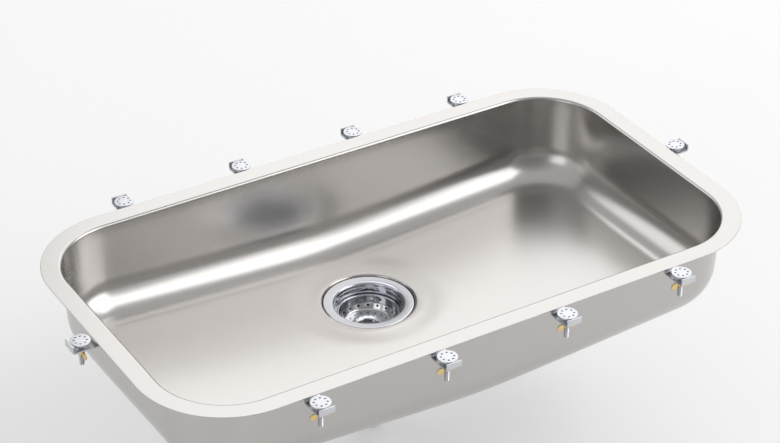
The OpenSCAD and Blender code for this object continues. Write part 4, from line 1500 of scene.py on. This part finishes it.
    def execute(self, context):
        settings = context.scene.sink
        b, c = settings.bowl, settings.clip
        stud_u = b.flange_w + c.stud_from_flange
        nut_top = -b.sheet_t - c.drop - c.strip_t - c.washer_t
        patterns = {
            "clip_studs": (self.stud(c, stud_u), "fitting_steel"),
            "clips": (self.strip(c, b, stud_u), "fitting_steel"),
            "clip_washers": (self.washer(c, nut_top, stud_u), "fitting_steel"),
            "wing_nuts": (self.wing_nut(c, nut_top, stud_u), "brass"),
        }
        places = self.places(c, b)
        recipe = round_the_flange()
        for node, (pattern, finish) in patterns.items():
            piece = new_piece(f"{node}_set", ([place for place, _ in places], []))
            turn = piece.data.attributes.new("turn", "FLOAT", "POINT")
            for item, (_, angle) in zip(turn.data, places):
                item.value = angle
            recipe.apply(piece, Pattern=pattern, Finish=finish_called(finish))
            hand_over(piece, finish_called(finish), "sink", finish, node)
            discard(pattern)
        return {"FINISHED"}


# ---- The studio ----


class SINK_OT_studio(bpy.types.Operator):
    """Lay the pale floor and set the soft lamps and the camera"""

    bl_idname = "sink.studio"
    bl_label = "Studio"

    # The camera as the photograph has it, in degrees and metres
    AZIMUTH = -31.834
    ELEVATION = 32.543
    ROLL = 0.42
    DISTANCE = 2.905746
    TARGET = (0.00964, 0.03106, 0.0)
    LENS = 111.0
    # Strength of the surround as the camera sees it, as it lights the rest, and its fill in metal
    WHITE = 1.0
    LIGHT = 0.45
    ROOM = 0.66
    # What the floor gives back to the camera beyond its own colour
    FLOOR_GLOW = 0.2
    FLOOR_REACH = 9
    # Lamps by bearing from the sink's back, height, distance, width, height and radiance
    LAMPS = {
        "Right softbox": (129, 32, 5.5, 4.3, 5.2, 1.87),
        "Back softbox": (40, 36, 5.0, 3.8, 4.3, 1.12),
        "Left softbox": (247, 19, 5.0, 2.2, 2.4, 1.0),
        "Fill softbox": (324, 28, 5.0, 2.6, 2.6, 0.9),
    }
    # Bearing, height, reach in degrees and depth of the dark sides of the room
    DARK = ((200, 20, 52, 0.55), (40, 0, 28, 0.6))

    def camera(self, scene):
        """The camera, aimed at its target and rolled about its view."""
        r = math.radians(self.ROLL)
        back = self.toward(180 - self.AZIMUTH, self.ELEVATION)
        level = Vector((0, 0, 1)).cross(back).normalized()
        upright = back.cross(level)
        across = level * math.cos(r) + upright * math.sin(r)
        up = upright * math.cos(r) - level * math.sin(r)
        data = bpy.data.cameras.new("Camera")
        data.lens = self.LENS
        data.sensor_width = 36
        camera = bpy.data.objects.new("Camera", data)
        turn = Matrix((across, up, back)).transposed().to_4x4()
        camera.matrix_world = Matrix.Translation(Vector(self.TARGET) + back * self.DISTANCE) @ turn
        scene.collection.objects.link(camera)
        scene.camera = camera

    def toward(self, bearing, height):
        """The way to a bearing from the sink's back and a height above it, in degrees."""
        a, e = math.radians(bearing), math.radians(height)
        return Vector((math.sin(a) * math.cos(e), math.cos(a) * math.cos(e), math.sin(e)))

    def seen(self, nodes):
        """1 for what the camera, a mirror or a clear piece sees, and 0 for plain light."""
        factor = nodes.add("ShaderNodeLightPath", output="Is Camera Ray")
        for ray in ("Is Glossy Ray", "Is Transmission Ray"):
            other = nodes.add("ShaderNodeLightPath", output=ray)
            factor = factor.maths("MAXIMUM", factor, other)
        return factor

    def floor(self, colour):
        """A pale floor at the sink's lowest point, which keeps the sink's shadow."""
        look = Finish("studio_floor")
        shade = look.shades(colour, look.noise(3, 2), 0.005)
        glow = look.blend(self.seen(look), (0, 0, 0, 1), (1, 1, 1, 1))
        constants = {"Specular_IOR_Level": 0.1, "Emission_Strength": self.FLOOR_GLOW}
        look.surface(shade, 0.9, Emission_Color=glow, **constants)
        low = CAD_BOUNDS[0][2]
        ways = ((-1, -1), (1, -1), (1, 1), (-1, 1))
        corners = [Vector((x, y, 0)) * self.FLOOR_REACH + Vector((0, 0, low)) for x, y in ways]
        piece = new_piece("studio_floor", (corners, [(0, 1, 2, 3)]))
        piece.data.materials.append(look.material)

    def backdrop(self, scene):
        """A white surround that lights evenly, with softly darker sides for metal to show."""
        world = bpy.data.worlds.new("Studio")
        world.use_nodes = True
        world.node_tree.nodes.clear()
        nodes = Nodes(world.node_tree)
        way = nodes.add("ShaderNodeTexCoord", output="Generated")
        room = self.ROOM
        for bearing, height, reach, depth in self.DARK:
            aim = tuple(self.toward(bearing, height))
            inputs = {0: way, 1: aim}
            near = nodes.add(
                "ShaderNodeVectorMath", inputs, output="Value", operation="DOT_PRODUCT"
            )
            edge = math.cos(math.radians(reach))
            inside = near.maths("MULTIPLY", near - edge, 1 / (1 - edge), use_clamp=True)
            smooth = inside * inside * (3 - 2 * inside)
            room = room * (1 - smooth * depth)
        mirror = nodes.add("ShaderNodeLightPath", output="Is Glossy Ray")
        plain = self.seen(nodes) * (self.WHITE - self.LIGHT) + self.LIGHT
        strength = plain * (1 - mirror) + room * mirror
        sky = {"Color": (1, 1, 1, 1), "Strength": strength}
        nodes.add("ShaderNodeOutputWorld", {"Surface": nodes.add("ShaderNodeBackground", sky)})
        scene.world = world

    def softbox(self, name, bearing, rise, distance, width, height, radiance):
        """An area lamp of an even radiance that faces the sink."""
        data = bpy.data.lights.new(name, "AREA")
        data.shape = "RECTANGLE"
        data.size, data.size_y = width, height
        data.energy = radiance * math.pi * width * height
        lamp = bpy.data.objects.new(name, data)
        lamp.visible_camera = False
        way = self.toward(bearing, rise)
        turn = (-way).to_track_quat("-Z", "Y").to_matrix().to_4x4()
        lamp.matrix_world = Matrix.Translation(way * distance) @ turn
        bpy.context.scene.collection.objects.link(lamp)

    def execute(self, context):
        scene = context.scene
        scene.view_settings.view_transform = "Standard"
        self.backdrop(scene)
        for name, setting in self.LAMPS.items():
            self.softbox(name, *setting)
        self.floor(scene.sink.finish.floor)
        self.camera(scene)
        return {"FINISHED"}


# ---- Panel and registration ----


STEPS = (
    SINK_OT_bowl, SINK_OT_sound_pads, SINK_OT_strainer, SINK_OT_under_sink,
    SINK_OT_basket, SINK_OT_stopper, SINK_OT_clips, SINK_OT_studio,
)


class SINK_PT_panel(bpy.types.Panel):
    """The sink's pieces, sizes and finishes"""

    bl_label = "Undermount Sink"
    bl_idname = "SINK_PT_panel"
    bl_space_type = "VIEW_3D"
    bl_region_type = "UI"
    bl_category = "Sink"

    def draw(self, context):
        for step in STEPS:
            self.layout.operator(step.bl_idname)
        for group in ("bowl", "drain", "basket", "clip", "finish"):
            box = self.layout.box()
            sizes = getattr(context.scene.sink, group)
            box.label(text=group.title())
            for name in sizes.__annotations__:
                box.prop(sizes, name)


CLASSES = (
    SinkBowlSizes, SinkDrainSizes, SinkBasketSizes, SinkClipSizes, SinkFinishes, SinkSettings,
    *STEPS, SINK_PT_panel,
)


def register():
    for each in CLASSES:
        bpy.utils.register_class(each)
    bpy.types.Scene.sink = bpy.props.PointerProperty(type=SinkSettings)


def unregister():
    del bpy.types.Scene.sink
    for each in reversed(CLASSES):
        bpy.utils.unregister_class(each)


def main():
    register()
    for step in STEPS:
        group, name = step.bl_idname.split(".")
        getattr(getattr(bpy.ops, group), name)()


if __name__ == "__main__":
    main()
